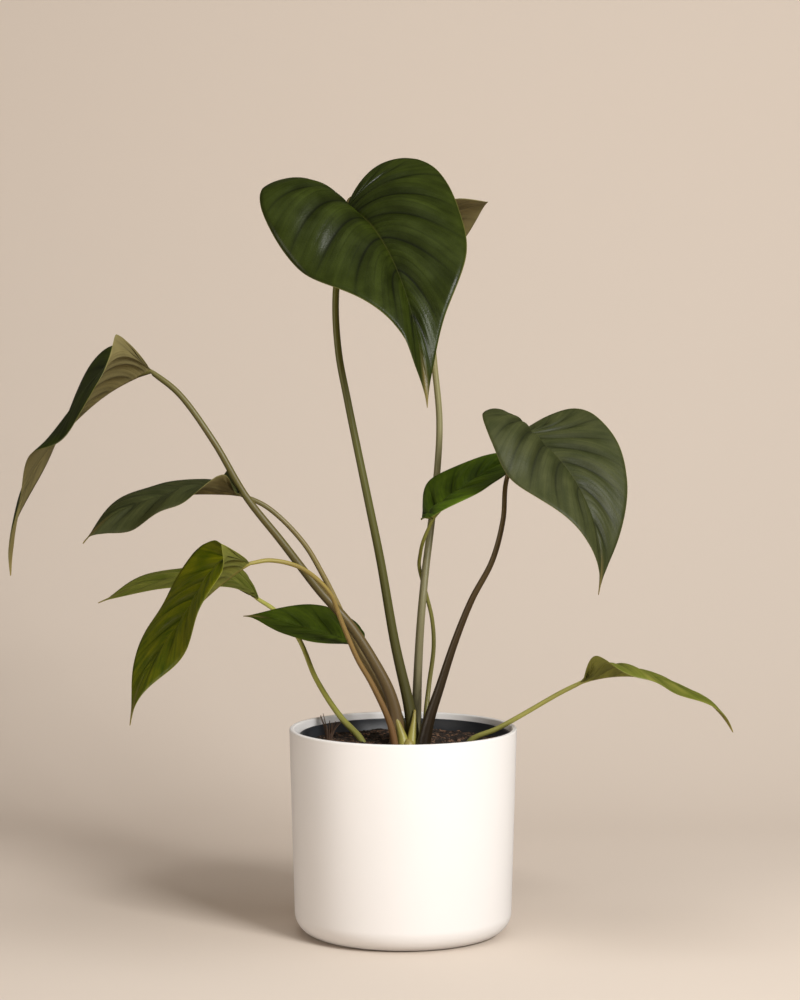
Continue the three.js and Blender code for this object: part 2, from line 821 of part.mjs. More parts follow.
function dryTuft() {
  let body = solid(tuftClod(0));
  for (let i = 0; i < TUFT.fibres; i++) {
    const angle = (2 * Math.PI * i) / TUFT.fibres + 0.4;
    const lean = TUFT.spread * (0.25 + 0.75 * ((i * 0.618) % 1));
    const height = TUFT.height * (0.55 + 0.45 * ((i * 0.382 + 0.3) % 1));
    const [dx, dy] = [Math.cos(angle), Math.sin(angle)];
    const points = [
      [TUFT.x + dx, TUFT.y + dy, SOIL.level],
      [TUFT.x + dx * (1 + lean * 0.4), TUFT.y + dy * (1 + lean * 0.4), SOIL.level + height * 0.6],
      [TUFT.x + dx * (1 + lean), TUFT.y + dy * (1 + lean), SOIL.level + height],
    ];
    body = body.add(solid(taperedTube(points, (s) => TUFT.thickness * (0.75 - 0.35 * s), 3, 4)));
  }
  return geometryOf(body);
}

const plant = new THREE.Group();
plant.name = "potted_homalomena_rubescens";
plant.add(mesh("cover_pot", coverPot(), COLOURS.cover, 0.45));
plant.add(mesh("nursery_pot", nurseryPot(), COLOURS.nursery, 0.5));
const holes = [crown(GAP), tuftClod(GAP)];
for (const [name, leaf] of Object.entries(LEAVES)) {
  const { blade, stalk, hole } = leafSolids(leaf);
  plant.add(mesh(`blade_${name}`, blade, leaf.colour, 0.4));
  plant.add(mesh(`stalk_${name}`, stalk, leaf.stalkColour, 0.5));
  holes.push(hole);
}
plant.add(mesh("crown", crown(0), COLOURS.crown, 0.5));
plant.add(mesh("dry_tuft", dryTuft(), COLOURS.tuft, 0.9));
plant.add(mesh("soil", soilBody(holes), COLOURS.soil, 0.95));

export default plant;
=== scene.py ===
import math
import random

import bpy
import numpy as np
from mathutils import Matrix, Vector


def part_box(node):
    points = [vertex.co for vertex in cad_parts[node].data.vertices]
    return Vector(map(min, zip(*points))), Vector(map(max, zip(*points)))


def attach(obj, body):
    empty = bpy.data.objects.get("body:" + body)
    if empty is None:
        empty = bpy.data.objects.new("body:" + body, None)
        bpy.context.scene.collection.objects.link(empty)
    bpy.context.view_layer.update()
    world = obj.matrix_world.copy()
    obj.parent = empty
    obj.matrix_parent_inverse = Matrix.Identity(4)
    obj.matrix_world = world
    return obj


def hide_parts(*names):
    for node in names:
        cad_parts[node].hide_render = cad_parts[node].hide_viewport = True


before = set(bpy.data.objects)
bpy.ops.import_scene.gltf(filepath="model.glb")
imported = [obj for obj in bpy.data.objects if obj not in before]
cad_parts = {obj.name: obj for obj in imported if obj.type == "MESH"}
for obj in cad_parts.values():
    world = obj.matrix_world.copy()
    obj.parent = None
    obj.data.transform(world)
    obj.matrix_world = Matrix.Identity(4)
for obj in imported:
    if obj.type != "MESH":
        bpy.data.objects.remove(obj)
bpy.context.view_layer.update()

bl_info = {
    "name": "Potted Homalomena rubescens",
    "version": (1, 0, 0),
    "blender": (4, 5, 0),
    "location": "3D View > Sidebar > Plant",
    "description": "Builds a foliage plant with heart-shaped leaves, in a nursery pot inside a cover pot",
    "category": "Add Mesh",
}

MM = 0.001

# Sizes in millimetres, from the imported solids

SOIL_LEVEL = 117
# The nursery pot and its soil stand this far to the right of the cover pot's middle
NURSERY_OFFSET = 1.4
DRAIN_HOLES = {"count": 6, "radius": 4, "ring": 30}
# The soil's top reaches this far out, and its side is a list of (radius, height) down to the pot's floor
SOIL = {"reach": 62.6, "side": [(62.6, 116.2), (60.6, 114.2), (45, 6.4), (0, 6.4)], "crumbs": 900, "peak": 117.75}

# A stalk lies this far under the joint, and its end this far further along the midrib. It thickens by a power of
# its length, starts at a share of its radius, and is pressed in by a share of it along its channel.
STALK = {"under_joint": 0.8, "neck": 9, "power": 1.6, "end": 0.35, "start": 0.85, "channel": 0.12, "step": 2.5}
# Below the soil a leaning stalk runs on and bends down: how far it runs, and how deep it is by then
STALK_ROOT = [(5, 6), (7, 16)]
# How much wider a stalk's sheath stands at the soil, by leaf, and the height over which that dies away
SHEATH_FLARE = {"tall_front": 1.3, "right": 1.6, "far_left": 1.3, "tall_back": 0.8, "front_left": 0.6}
OTHER_FLARE, FLARE_HEIGHT = 0.3, 22

# The blade's skin: its thickness and the share of it left at the margin, then the keel that the midrib makes below
# and the channel that it makes above. Within near_rib of the midrib, the skin faces as the midrib does.
SKIN = {"thickness": 0.55, "margin": 0.35, "keel": 1.4, "keel_width": 1.3, "channel": 0.45, "channel_width": 1.1,
        "near_rib": 4}
# Side veins: how deep they are sunk, how many there are for each of a leaf's rows, and how sharp the dome is between
VEINS = {"depth": 1.6, "share": 0.62, "dome": 2.4}
# They leave the midrib in a fan: where along the leaf it begins, how fast it opens, and how much each vein arches
FAN = {"start": 0.33, "power": 1.9, "arch": 0.06}
# How wide a lobe's raised ear is, as a share of the margin
EAR_WIDTH = 0.06
SPINE_STEPS = 80

# The margin from the petiole to the widest place, as shares of the lobe's length and of the half width
LOBE = [(0, 0), (-0.42, 0.1), (-0.86, 0.34), (-1, 0.6), (-0.68, 0.87)]
# The margin from the widest place to the tip, as shares of the length and of the half width
SIDE = [(0.03, 1), (0.24, 0.95), (0.46, 0.735), (0.68, 0.42), (0.85, 0.17), (0.94, 0.05), (1, 0)]

# Each leaf: where the petiole meets the blade, the blade's size in millimetres, and how it is held in degrees.
# heading, pitch and roll turn the midrib from petiole to tip. fold lifts each half, and curl bends it on outwards.
# A half is (curl, widen, wave, phase, ear), seen from above with the tip away: wave and phase ripple its margin,
# and an ear is a raised place by the lobe, as its height and its place along the margin. stalk lists the points of
# the petiole, from the blade down to the soil. look names the finish in the record, and shade the colours, where a
# leaf wears others than its look.
LEAVES = {
    "tall_front": {
        "joint": (-34, 8, 445), "length": 161, "half_width": 60, "lobe": 16,
        "heading": (-64, -57, -55, -54), "pitch": (-9, -44, -66, -82), "roll": (-1, -14, -6, -1),
        "fold": (55, 22, 31, 9), "fullness": 0.93, "taper": 0.72, "waves": 2.3, "sweep": 0.13,
        "right": ((-75, -43), 1.17, 3.5, 0.6, (4, 0.8)), "left": ((-43, -9), 1.02, -3.5, 1.9, (0, 0.25)),
        "rows": 18, "look": "dark", "stalk_radius": (2, 3.3),
        "stalk": [(-41, 2, 394), (-39.5, -1, 359), (-34, -2, 329), (-21.5, -2, 268), (-14, -1, 231),
                  (-5, 1, 179), (4.5, 3.5, 135), (6, 3.5, 117)],
    },
    "tall_back": {
        "joint": (13, 32, 441), "length": 128, "half_width": 46, "lobe": 25,
        "heading": (96, 93, 90, 87), "pitch": (-11, -18, -24, -33), "roll": (1, 0, 0, 0),
        "fold": (21, 18, 14, 12), "fullness": 0.98, "taper": 1, "waves": 2.6, "sweep": 0.15,
        "right": ((-15, -11), 0.93, 3.5, -0.1, (0, 0.25)), "left": ((-9, -10), 1.05, 0.8, 0.9, (0, 0.25)),
        "rows": 16, "look": "dark", "stalk_radius": (1.8, 2.9),
        "stalk": [(15.5, 29, 396), (19, 28, 354), (22.5, 27, 316), (21.5, 25, 288), (17, 18, 248),
                  (14, 11, 225), (11, 6, 194), (9, 10, 157), (8, 12, 117)],
    },
    "right": {
        "joint": (74, -5, 309), "length": 125, "half_width": 45, "lobe": 15,
        "heading": (-50, -47, -42, -41), "pitch": (-17, -42, -70, -100), "roll": (26, 0, 6, 1),
        "fold": (30, 16, 17, 13), "fullness": 1.02, "taper": 1.04, "waves": 2.4, "sweep": 0.24,
        "right": ((-74, -21), 1.06, 3.5, 0.7, (0, 0.25)), "left": ((35, -12), 0.96, 2.9, 3.5, (0, 0.25)),
        "rows": 18, "look": "dark", "shade": "dusty", "stalk_radius": (1.4, 3.2),
        "stalk": [(63, -7, 280), (61, -8, 256), (54.5, -8, 231), (42, -8, 207), (32, -8, 182),
                  (22.5, -8, 153), (16, -8, 133), (12.5, -7.5, 117)],
    },
    "middle": {
        "joint": (17.5, -9.5, 257), "length": 83, "half_width": 30, "lobe": 4,
        "heading": (10, 33, 45, 53), "pitch": (49, 33, 17, 18), "roll": (10, -2, -16, -11),
        "fold": (27, 19, 18, 14), "fullness": 1, "taper": 1.04, "waves": 2.5, "sweep": 0,
        "right": ((-48, -12), 1, 1, -0.9, (0, 0.25)), "left": ((-29, -3), 1, -3.2, -2.6, (0, 0.25)),
        "rows": 12, "look": "mid", "shade": "fresh", "stalk_radius": (1.1, 1.6),
        "stalk": [(12.5, -3, 243), (10.5, 8, 233), (10, 14.5, 225), (14, 17, 209), (18, 18, 192),
                  (19, 17, 175), (16, 14, 151), (14, 8.5, 132), (14, 6, 117)],
    },
    "far_left": {
        "joint": (-153, -16, 347.5), "length": 169, "half_width": 61, "lobe": 3,
        "heading": (181, 156, 163, 165, 171), "pitch": (-22, -37, -49, -75, -87), "roll": (-23, 15, 13, 12, 17),
        "fold": (25, 12, 6, -1, 3), "fullness": 1.06, "taper": 1.01, "waves": 2.5, "sweep": 0.26,
        "right": ((12, -4), 1.09, 3.9, 0.6, (0, 0.25)), "left": ((-52, 25), 1.01, 4.5, -0.5, (9.5, 0.21)),
        "rows": 18, "look": "dark", "stalk_radius": (1.8, 3.9),
        "stalk": [(-136, -17, 333.5), (-114.5, -18, 304), (-95.5, -16, 271), (-74, -12, 243), (-51.5, -7, 213),
                  (-32.5, -4, 191), (-18.5, -2, 169), (-8.5, -0.5, 149), (-4, 0.5, 131), (-3.5, 0.5, 117)],
    },
    "upper_left": {
        "joint": (-99, -5, 272), "length": 106, "half_width": 41, "lobe": 3,
        "heading": (188, 193, 190, 185), "pitch": (4, -4, -24, -53), "roll": (0, -3, 22, 21),
        "fold": (9, 10, -6, -10), "fullness": 0.97, "taper": 1.1, "waves": 3, "sweep": 0.4,
        "right": ((3, -17), 1.03, 1, -0.8, (12, 0.18)), "left": ((5, -41), 1.07, 4.5, 1.9, (0, 0.25)),
        "rows": 16, "look": "dark", "shade": "dusty", "stalk_radius": (1.5, 2.4),
        "stalk": [(-82.5, -4, 263), (-61.5, -2, 242), (-49, 0, 221), (-38, 3, 198), (-29.5, 7, 178),
                  (-20.5, 8.5, 161.5), (-13.5, 9.5, 147), (-7, 9.5, 132), (-5, 9.5, 117)],
    },
    "front_left": {
        "joint": (-91.5, -57, 234.5), "length": 123, "half_width": 43, "lobe": 3,
        "heading": (185, 196, 203, 206), "pitch": (-33, -45, -56, -81), "roll": (-12, -5, 5, 9),
        "fold": (34, 26, 6, 11), "fullness": 0.99, "taper": 1.04, "waves": 2.5, "sweep": 0.39,
        "right": ((6, -36), 1.01, 3.2, -3.1, (6, 0.23)), "left": ((-52, -34), 1.06, 2.3, 0.1, (8, 0.2)),
        "rows": 16, "look": "young", "stalk_radius": (1.3, 1.8),
        "stalk": [(-79, -50, 235), (-61, -41, 229.5), (-44.5, -32, 214), (-37.5, -26, 196),
                  (-27.5, -20, 171.5), (-19.5, -16, 157), (-8, -11, 131), (-5, -10, 117)],
    },
    "back_left": {
        "joint": (-92, 64, 200.5), "length": 108, "half_width": 35, "lobe": 3,
        "heading": (184, 186, 185, 185), "pitch": (41, 5, -15, -25), "roll": (1, 6, 11, 14),
        "fold": (2, 4, 1, 1), "fullness": 1, "taper": 1.02, "waves": 2.4, "sweep": 0.36,
        "right": ((5, -10), 1.02, 2.5, 2.4, (0, 0.25)), "left": ((3, -22), 1.03, 0.9, -2.2, (-1, 0.26)),
        "rows": 14, "look": "mid", "shade": "pale", "stalk_radius": (1.4, 1.9),
        "stalk": [(-81, 61, 192.5), (-66.5, 56, 176), (-54.5, 40, 151.5), (-39, 22, 130.5), (-26, 13, 117.5)],
    },
    "low_left": {
        "joint": (-27, 38, 175), "length": 78, "half_width": 32, "lobe": 6,
        "heading": (174, 170, 164, 162), "pitch": (13, 15, 11, 0), "roll": (6, 13, 21, 17),
        "fold": (12, 11, 12, 11), "fullness": 1.03, "taper": 1.06, "waves": 2.4, "sweep": 0.36,
        "right": ((-10, 3), 1.01, -0.1, 0.6, (-1, 0.26)), "left": ((-1, -9), 1.02, -0.8, 2.2, (-1, 0.25)),
        "rows": 12, "look": "mid", "stalk_radius": (1.2, 1.6),
        "stalk": [(-21.5, 34, 169), (-17, 30, 160), (-9.5, 22, 146), (-1.5, 18, 131.5), (1.5, 17, 117)],
    },
    "low_right": {
        "joint": (108.5, -19, 158.5), "length": 106, "half_width": 37, "lobe": 6,
        "heading": (-10, -23, -17, -14), "pitch": (17, -3, -25, -61), "roll": (4, 10, 7, 11),
        "fold": (6, 13, 6, -4, 9, 2), "fullness": 1.02, "taper": 1.03, "waves": 2.9, "sweep": 0.6,
        "right": ((5, -21), 1.2, 3.3, 3.2, (0, 0.25)), "left": ((-11, -9), 1.03, 1.1, 3.1, (0, 0.25)),
        "rows": 14, "look": "young", "shade": "pale", "stalk_radius": (1.3, 1.5),
        "stalk": [(96, -14, 150.5), (78, -5, 138.5), (66.5, 0, 131), (57, 5, 125), (42.5, 13, 117.5)],
    },
}

# Leaf colours: the deep and the light tone of the blade, the sunken veins with the painted shade in their grooves,
# the midrib and the thin margin
LEAF_COLOURS = {
    "old_upper": ("#1A2005", "#30390E", "#0B0E05", "#34350F", "#77753C"),
    "old_under": ("#6A613C", "#7E744C", "#504930", "#7A6E48", "#7C7850"),
    "grown_upper": ("#283604", "#42500C", "#1C2603", "#46441A", "#6A6E2E"),
    "grown_under": ("#6E7030", "#82823C", "#5C5A2C", "#8A8048", "#88844A"),
    "young_upper": ("#2C3E04", "#686808", "#243002", "#6B6024", "#8A8838"),
    "young_under": ("#5E6028", "#727232", "#52542A", "#80703C", "#88844A"),
    # The greyer upper side below is painted sheen: a pale grey base in place of a broad soft reflection
    "dusty_upper": ("#2E331A", "#454828", "#1E2112", "#42442A", "#77753C"),
    "pale_upper": ("#4E5A14", "#787634", "#3A4212", "#80703C", "#88844A"),
    "fresh_upper": ("#324608", "#566C16", "#1E2C06", "#666638", "#788040"),
}
# Each shade's upper side, underside and the upper side's roughness
LEAF_SHADES = {
    "dark": ("old_upper", "old_under", 0.36), "mid": ("grown_upper", "grown_under", 0.38),
    "young": ("young_upper", "young_under", 0.4), "dusty": ("dusty_upper", "old_under", 0.5),
    "pale": ("pale_upper", "grown_under", 0.42), "fresh": ("fresh_upper", "grown_under", 0.4),
}
# Stalk colours from the blade down to the soil: near the blade, half way, near the soil
STALK_COLOURS = {
    "tall_front": ("#78762E", "#56561F", "#403C1A"), "tall_back": ("#8A8448", "#827E58", "#767054"),
    "right": ("#7E6A38", "#4A381C", "#1A130A"), "middle": ("#848436", "#7C7A38", "#6A6234"),
    "far_left": ("#646230", "#585228", "#5E4A30"), "upper_left": ("#5A5A30", "#8A7A46", "#7A6442"),
    "front_left": ("#A09848", "#8C7440", "#6C4C30"), "back_left": ("#ACAC54", "#AAA850", "#84823E"),
    "low_left": ("#7E7E38", "#74743A", "#5E5C30"), "low_right": ("#A8A856", "#AAA858", "#908E48"),
    "crown": ("#857440", "#918A40", "#9A9444"),
}
DRY_TIP = "#8C7C48"
# The glaze, plastic, soil and fibre, each named for its material and how it was made, with two tones. The second
# comes in between two levels of a pattern, up to a share. patch and grain are the size in millimetres and the detail
# of a pattern, and bump the grain's strength and depth in millimetres.
FINISHES = {
    # Slip-cast stoneware under a satin glaze. The eye gets a soft sheen and the faint orange-peel of the glaze.
    "satin_white_glaze": {
        "tones": ("#E6E3E1", "#E9E6E4"), "patch": (30, 3), "levels": (0, 1, 1),
        "grain": (2, 2), "bump": (0.06, 0.2), "roughness": 0.42, "refraction": 1.5,
    },
    # Injection-moulded. The eye gets a dull grey sheen from its fine mould texture, with dust in patches.
    "moulded_black_polypropylene": {
        "tones": ("#23262B", "#3A3A3C"), "patch": (9, 4), "levels": (0.5, 0.75, 0.35),
        "grain": (0.8, 3), "bump": (0.2, 0.2), "roughness": 0.45, "refraction": 1.49,
    },
    # Potting mix. The eye gets a matt, nearly black crumb, one in three of them reddish-brown bark.
    "damp_peat_mix": {
        "tones": ("#21170F", "#84624A"), "patch": (2.2, 0), "levels": (0.68, 1, 1),
        "grain": (0.9, 5), "bump": (0.9, 0.8), "roughness": 0.85, "refraction": 1.5,
    },
    # Dead leaf sheath, dried to strands. The eye gets a matt, woody brown with paler strands.
    "dry_leaf_fibre": {
        "tones": ("#1D140E", "#5E4633"), "patch": (1.2, 4), "levels": (0, 1, 1),
        "grain": (1.2, 4), "bump": (0, 0.2), "roughness": 0.8, "refraction": 1.5,
    },
}
# The inputs of a colour mix, by number as its other kinds share the names: how much, and the two colours
MIX_SHARE, MIX_FIRST, MIX_SECOND = 0, 6, 7

# The paper's front edge, back, curve and half width, in millimetres
PAPER = {"front": -1100, "back": 900, "radius": 560, "half_width": 1500, "top": 2600}
# Each soft light in metres: its place, the place that it faces, its side, the setting of its power, and its tint
LIGHTS = {
    "key_softbox": ((1.12, -1.45, 1.15), (0, 0, 0.2), 0.66, "key", "#FFFEFC"),
    "fill_softbox": ((-1.5, -1.2, 0.3), (0, 0, 0.2), 0.9, "fill", "#FFF4E8"),
    "top_softbox": ((0.1, -0.35, 1.2), (0.1, -0.34, 0), 0.9, "top", "#FFFEFC"),
}
ROOM_LIGHT, ROOM_SEEN = "#FFF0E2", "#DDCCBA"
# The camera of the photograph: lens and sensor in millimetres, place in metres, and tilt from straight down
CAMERA = {"lens": 104.9, "sensor": 36, "place": (-0.0019, -1.7798, 0.396), "tilt": 85.87}


# Colours and node trees


def linear(hex_colour):
    """An sRGB hex value as linear red, green, blue and alpha."""
    value = hex_colour.lstrip("#")
    shares = [int(value[i : i + 2], 16) / 255 for i in (0, 2, 4)]
    return [c / 12.92 if c <= 0.04045 else ((c + 0.055) / 1.055) ** 2.4 for c in shares] + [1.0]


def add(tree, kind, inputs=None, **settings):
    """Adds one shader node with its settings, and values or links on its inputs. A node given as a value is linked
    by its first output in use."""
    made = tree.nodes.new(f"ShaderNode{kind}")
    for name, value in settings.items():
        setattr(made, name, value)
    for socket, value in (inputs or {}).items():
        if isinstance(value, bpy.types.Node):
            value = next(output for output in value.outputs if output.enabled)
        if isinstance(value, bpy.types.NodeSocket):
            tree.links.new(value, made.inputs[socket])
        else:
            made.inputs[socket].default_value = value
    return made


def new_material(name, shade, *looks, **finish):
    """A material whose surface is the node that shade builds, from the tree, the coordinates and its looks."""
    material = bpy.data.materials.new(name)
    material.use_nodes = True
    tree = material.node_tree
    tree.nodes.clear()
    place = add(tree, "TexCoord").outputs
    add(tree, "OutputMaterial", {"Surface": shade(tree, place, *looks, **finish)})
    return material


def sized(place, size, detail=0.0):
    """The inputs of a pattern fixed to the object, whose features have a size in millimetres."""
    return {"Vector": place["Object"], "Scale": 1 / (size * MM), "Detail": detail}


def waxy_leaf(tree, place, colours, roughness, side):
    """Living leaf under a waxy skin. The eye gets a broad soft highlight that breaks at each sunken vein,
    and a thin pale margin."""
    deep, light, vein, midrib, edge = (linear(tone) for tone in colours)
    across, lengthwise, _ = add(tree, "SeparateXYZ", {0: place["UV"]}).outputs
    # How far out from the midrib, 0 to 1
    out = across
    for operation, value in (("SUBTRACT", 0.5), ("ABSOLUTE", 0), ("MULTIPLY", 2)):
        out = add(tree, "Math", {0: out, 1: value}, operation=operation)
    # How far from the nearest side vein, and from the fine veins that run beside it, four or five to each
    gaps = []
    for count in (1, 4, 5):
        gap = lengthwise
        for operation, value in (("MULTIPLY", count), ("FRACT", 0), ("SUBTRACT", 0.5), ("ABSOLUTE", 0)):
            gap = add(tree, "Math", {0: gap, 1: value}, operation=operation)
        gaps.append(gap)
    side_gap, ridge_gap, fine_gap = gaps
    fade = add(tree, "MapRange", {"Value": out, "From Min": 0.55, "To Min": 1, "To Max": 0.15})

    # The light tone, in blotches of about 14 mm and streaks along the side veins, as the green is never even
    blotch = add(tree, "TexNoise", sized(place, 14, 3))
    beside = add(tree, "Mapping", {"Vector": place["UV"], "Scale": (2.2, 2.6, 1)})
    streak = add(tree, "TexNoise", {"Vector": beside, "Scale": 2, "Detail": 4})
    both = add(tree, "Math", {0: blotch, 1: streak}, operation="ADD")
    layers = [(add(tree, "MapRange", {"Value": both, "From Min": 0.7, "From Max": 1.3,
                                      "To Min": 0.12, "To Max": 0.88}), light)]
    # The fine veins, then painted shade deepening towards each side vein, and the side veins, their dark line partly
    # painted shade
    for gap, reach, strength in ((fine_gap, 0.16, 0.3), (side_gap, 0.4, 0.6), (side_gap, 0.06, 0.75)):
        line = add(tree, "MapRange", {"Value": gap, "From Max": reach, "To Min": strength, "To Max": 0})
        layers.append((add(tree, "Math", {0: line, 1: fade}, operation="MULTIPLY"), vein))
    # The midrib, the margin and the dried tip
    rib = add(tree, "MapRange", {"Value": out, "From Min": 0.008, "From Max": 0.028, "To Min": 0.5, "To Max": 0})
    rim = add(tree, "MapRange", {"Value": out, "From Min": 0.99, "To Max": 0.6})
    dryness = add(tree, "Attribute", attribute_name="dry").outputs["Fac"]
    dried = add(tree, "Math", {0: dryness, 1: 1.5}, operation="POWER")
    body = deep
    for share, tone in (*layers, (rib, midrib), (rim, edge), (dried, linear(DRY_TIP))):
        body = add(tree, "Mix", {MIX_SHARE: share, MIX_FIRST: body, MIX_SECOND: tone}, data_type="RGBA")

    # The net of small veins between the side veins, about 1.6 mm across, over puckers of about 5 mm
    net = add(tree, "TexVoronoi", sized(place, 1.6), feature="DISTANCE_TO_EDGE")
    pucker = add(tree, "TexNoise", sized(place, 5, 2))
    ridge = add(tree, "Math", {0: 1, 1: ridge_gap}, operation="SUBTRACT")
    for operation, value in (("POWER", 3), ("MULTIPLY", fade)):
        ridge = add(tree, "Math", {0: ridge, 1: value}, operation=operation)
    height = 0.0
    for relief, weight in ((net, 0.5), (pucker, 0.4), (ridge, -0.7)):
        height = add(tree, "Math", {0: relief, 1: weight, 2: height}, operation="MULTIPLY_ADD")
    strength, most = (0.45, 0.26) if side == "upper" else (0.4, 0.12)
    bump = add(tree, "Bump", {"Strength": strength, "Distance": 0.5 * MM, "Height": height})

    gloss = add(tree, "MapRange", {"Value": blotch, "From Min": 0.3, "From Max": 0.7,
                                   "To Min": roughness - 0.05, "To Max": roughness + 0.07})
    # The cells of the skin stand up like beads, so an edge seen on the slant mirrors less than smooth wax would
    slant = add(tree, "LayerWeight", {"Blend": 0.5}).outputs["Facing"]
    level = add(tree, "MapRange", {"Value": slant, "From Min": 0.3, "From Max": 0.8, "To Min": most, "To Max": 0.04})
    return add(tree, "BsdfPrincipled", {"Base Color": body, "Roughness": gloss, "IOR": 1.42,
                                        "Specular IOR Level": level, "Normal": bump})


def stalk_skin(tree, place, colours):
    """Fleshy leaf stalk with a smooth skin. The eye gets a soft line of light and fine streaks along it."""
    near_blade, half_way, near_soil = (linear(tone) for tone in colours)
    ramp = add(tree, "ValToRGB", {0: add(tree, "SeparateXYZ", {0: place["UV"]}).outputs[1]})
    stops = ramp.color_ramp.elements
    stops[0].color, stops[1].color, stops[1].position = near_blade, near_soil, 0.97
    stops.new(0.5).color = half_way
    stretched = add(tree, "Mapping", {"Vector": place["UV"], "Scale": (9, 4, 1)})
    grain = add(tree, "TexNoise", {"Vector": stretched, "Scale": 2, "Detail": 4})
    share = add(tree, "MapRange", {"Value": grain, "From Min": 0.35, "From Max": 0.7, "To Max": 0.6})
    body = add(tree, "Mix", {MIX_SHARE: share, MIX_FIRST: ramp, MIX_SECOND: near_soil}, data_type="RGBA")
    bump = add(tree, "Bump", {"Strength": 0.25, "Distance": 0.3 * MM, "Height": grain})
    return add(tree, "BsdfPrincipled", {"Base Color": body, "Roughness": 0.42, "IOR": 1.45, "Normal": bump})


def two_tone(tree, place, tones, patch, levels, grain, bump, roughness, refraction):
    """Two tones in patches, under a grain. A patch without detail is a crumb with a tone of its own."""
    first, second = (linear(tone) for tone in tones)
    if patch[1]:
        pattern = add(tree, "TexNoise", sized(place, *patch))
    else:
        crumb = add(tree, "TexVoronoi", sized(place, *patch)).outputs["Color"]
        pattern = add(tree, "SeparateColor", {0: crumb})
    low, high, most = levels
    share = add(tree, "MapRange", {"Value": pattern, "From Min": low, "From Max": high, "To Max": most})
    body = add(tree, "Mix", {MIX_SHARE: share, MIX_FIRST: first, MIX_SECOND: second}, data_type="RGBA")
    rough = add(tree, "TexNoise", sized(place, *grain))
    strength, depth = bump
    skin = add(tree, "Bump", {"Strength": strength, "Distance": depth * MM, "Height": rough})
    return add(tree, "BsdfPrincipled", {"Base Color": body, "Roughness": roughness, "IOR": refraction,
                                        "Normal": skin})


def finished(name):
    """The material of one of the finishes listed above."""
    return new_material(name, two_tone, **FINISHES[name])


def studio_paper(tree, place, base):
    """Matt seamless studio paper, with only the faintest tooth. Its back shows nothing, so that the plant can
    be seen from behind."""
    tooth = add(tree, "TexNoise", sized(place, 3, 2))
    bump = add(tree, "Bump", {"Strength": 0.03, "Distance": 0.2 * MM, "Height": tooth})
    front = add(tree, "BsdfPrincipled", {"Base Color": base, "Roughness": 0.95, "Specular IOR Level": 0.1,
                                         "Normal": bump})
    behind = add(tree, "NewGeometry").outputs["Backfacing"]
    return add(tree, "MixShader", {0: behind, 1: front, 2: add(tree, "BsdfTransparent")})


# Meshes


def new_object(name, points, faces, materials, uv=None, slots=None, smooth=True, dry=None):
    """One mesh object from points in millimetres. UVs and dryness go by vertex, slots and smoothness by face."""
    mesh = bpy.data.meshes.new(name)
    mesh.from_pydata((np.asarray(points) * MM).tolist(), [], faces)
    for material in materials:
        mesh.materials.append(material)
    if slots is not None:
        mesh.polygons.foreach_set("material_index", slots)
    mesh.polygons.foreach_set("use_smooth", np.full(len(faces), smooth))
    if dry is not None:
        mesh.attributes.new("dry", "FLOAT", "POINT").data.foreach_set("value", np.asarray(dry, np.float32))
    if uv is not None:
        corner_vertices = np.empty(len(mesh.loops), int)
        mesh.loops.foreach_get("vertex_index", corner_vertices)
        layer = mesh.uv_layers.new(name="UVMap")
        layer.data.foreach_set("uv", np.asarray(uv)[corner_vertices].ravel())
    mesh.validate()
    mesh.update()
    made = bpy.data.objects.new(name, mesh)
    bpy.context.scene.collection.objects.link(made)
    return made


def hand_over(piece, node):
    """The piece rides on the plant and stands for its CAD node, which it hides."""
    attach(piece, "root")
    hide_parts(node)


def quads(index, closed=False, turned=False):
    """Faces between neighbouring rows of point numbers. closed joins the last column to the first, and turned makes
    them face the other way. Corners that coincide are one."""
    rows = [[*row, row[0]] if closed else row for row in np.asarray(index).tolist()]
    faces = []
    for low, high in zip(rows, rows[1:]):
        for k in range(len(low) - 1):
            corners = [low[k], low[k + 1], high[k + 1], high[k]]
            if turned:
                corners = [corners[0], *corners[:0:-1]]
            corners = [x for i, x in enumerate(corners) if x != corners[i - 1]]
            if len(corners) > 2:
                faces.append(corners)
    return faces


def join(meshes):
    """The points and faces of several meshes as one."""
    points, faces = [], []
    for more, more_faces in meshes:
        first = len(points)
        points.extend(tuple(p) for p in more)
        faces.extend([first + k for k in face] for face in more_faces)
    return points, faces


def distances(points, power=1.0):
    """How far along a line each of its points lies, with each step raised to a power."""
    return np.concatenate([[0], np.cumsum(np.linalg.norm(np.diff(points, axis=0), axis=1) ** power)])


def along(values, s):
    """A smooth curve through evenly spaced values, read at s from 0 to 1."""
    values = np.asarray(values, float)
    last = len(values) - 1
    place = np.clip(s, 0, 1) * last
    i = np.minimum(np.floor(place).astype(int), last - 1)
    f = place - i
    a, b, c, d = values[np.maximum(i - 1, 0)], values[i], values[i + 1], values[np.minimum(i + 2, last)]
    return b + 0.5 * f * (c - a + f * (2 * a - 5 * b + 4 * c - d + f * (3 * (b - c) + d - a)))


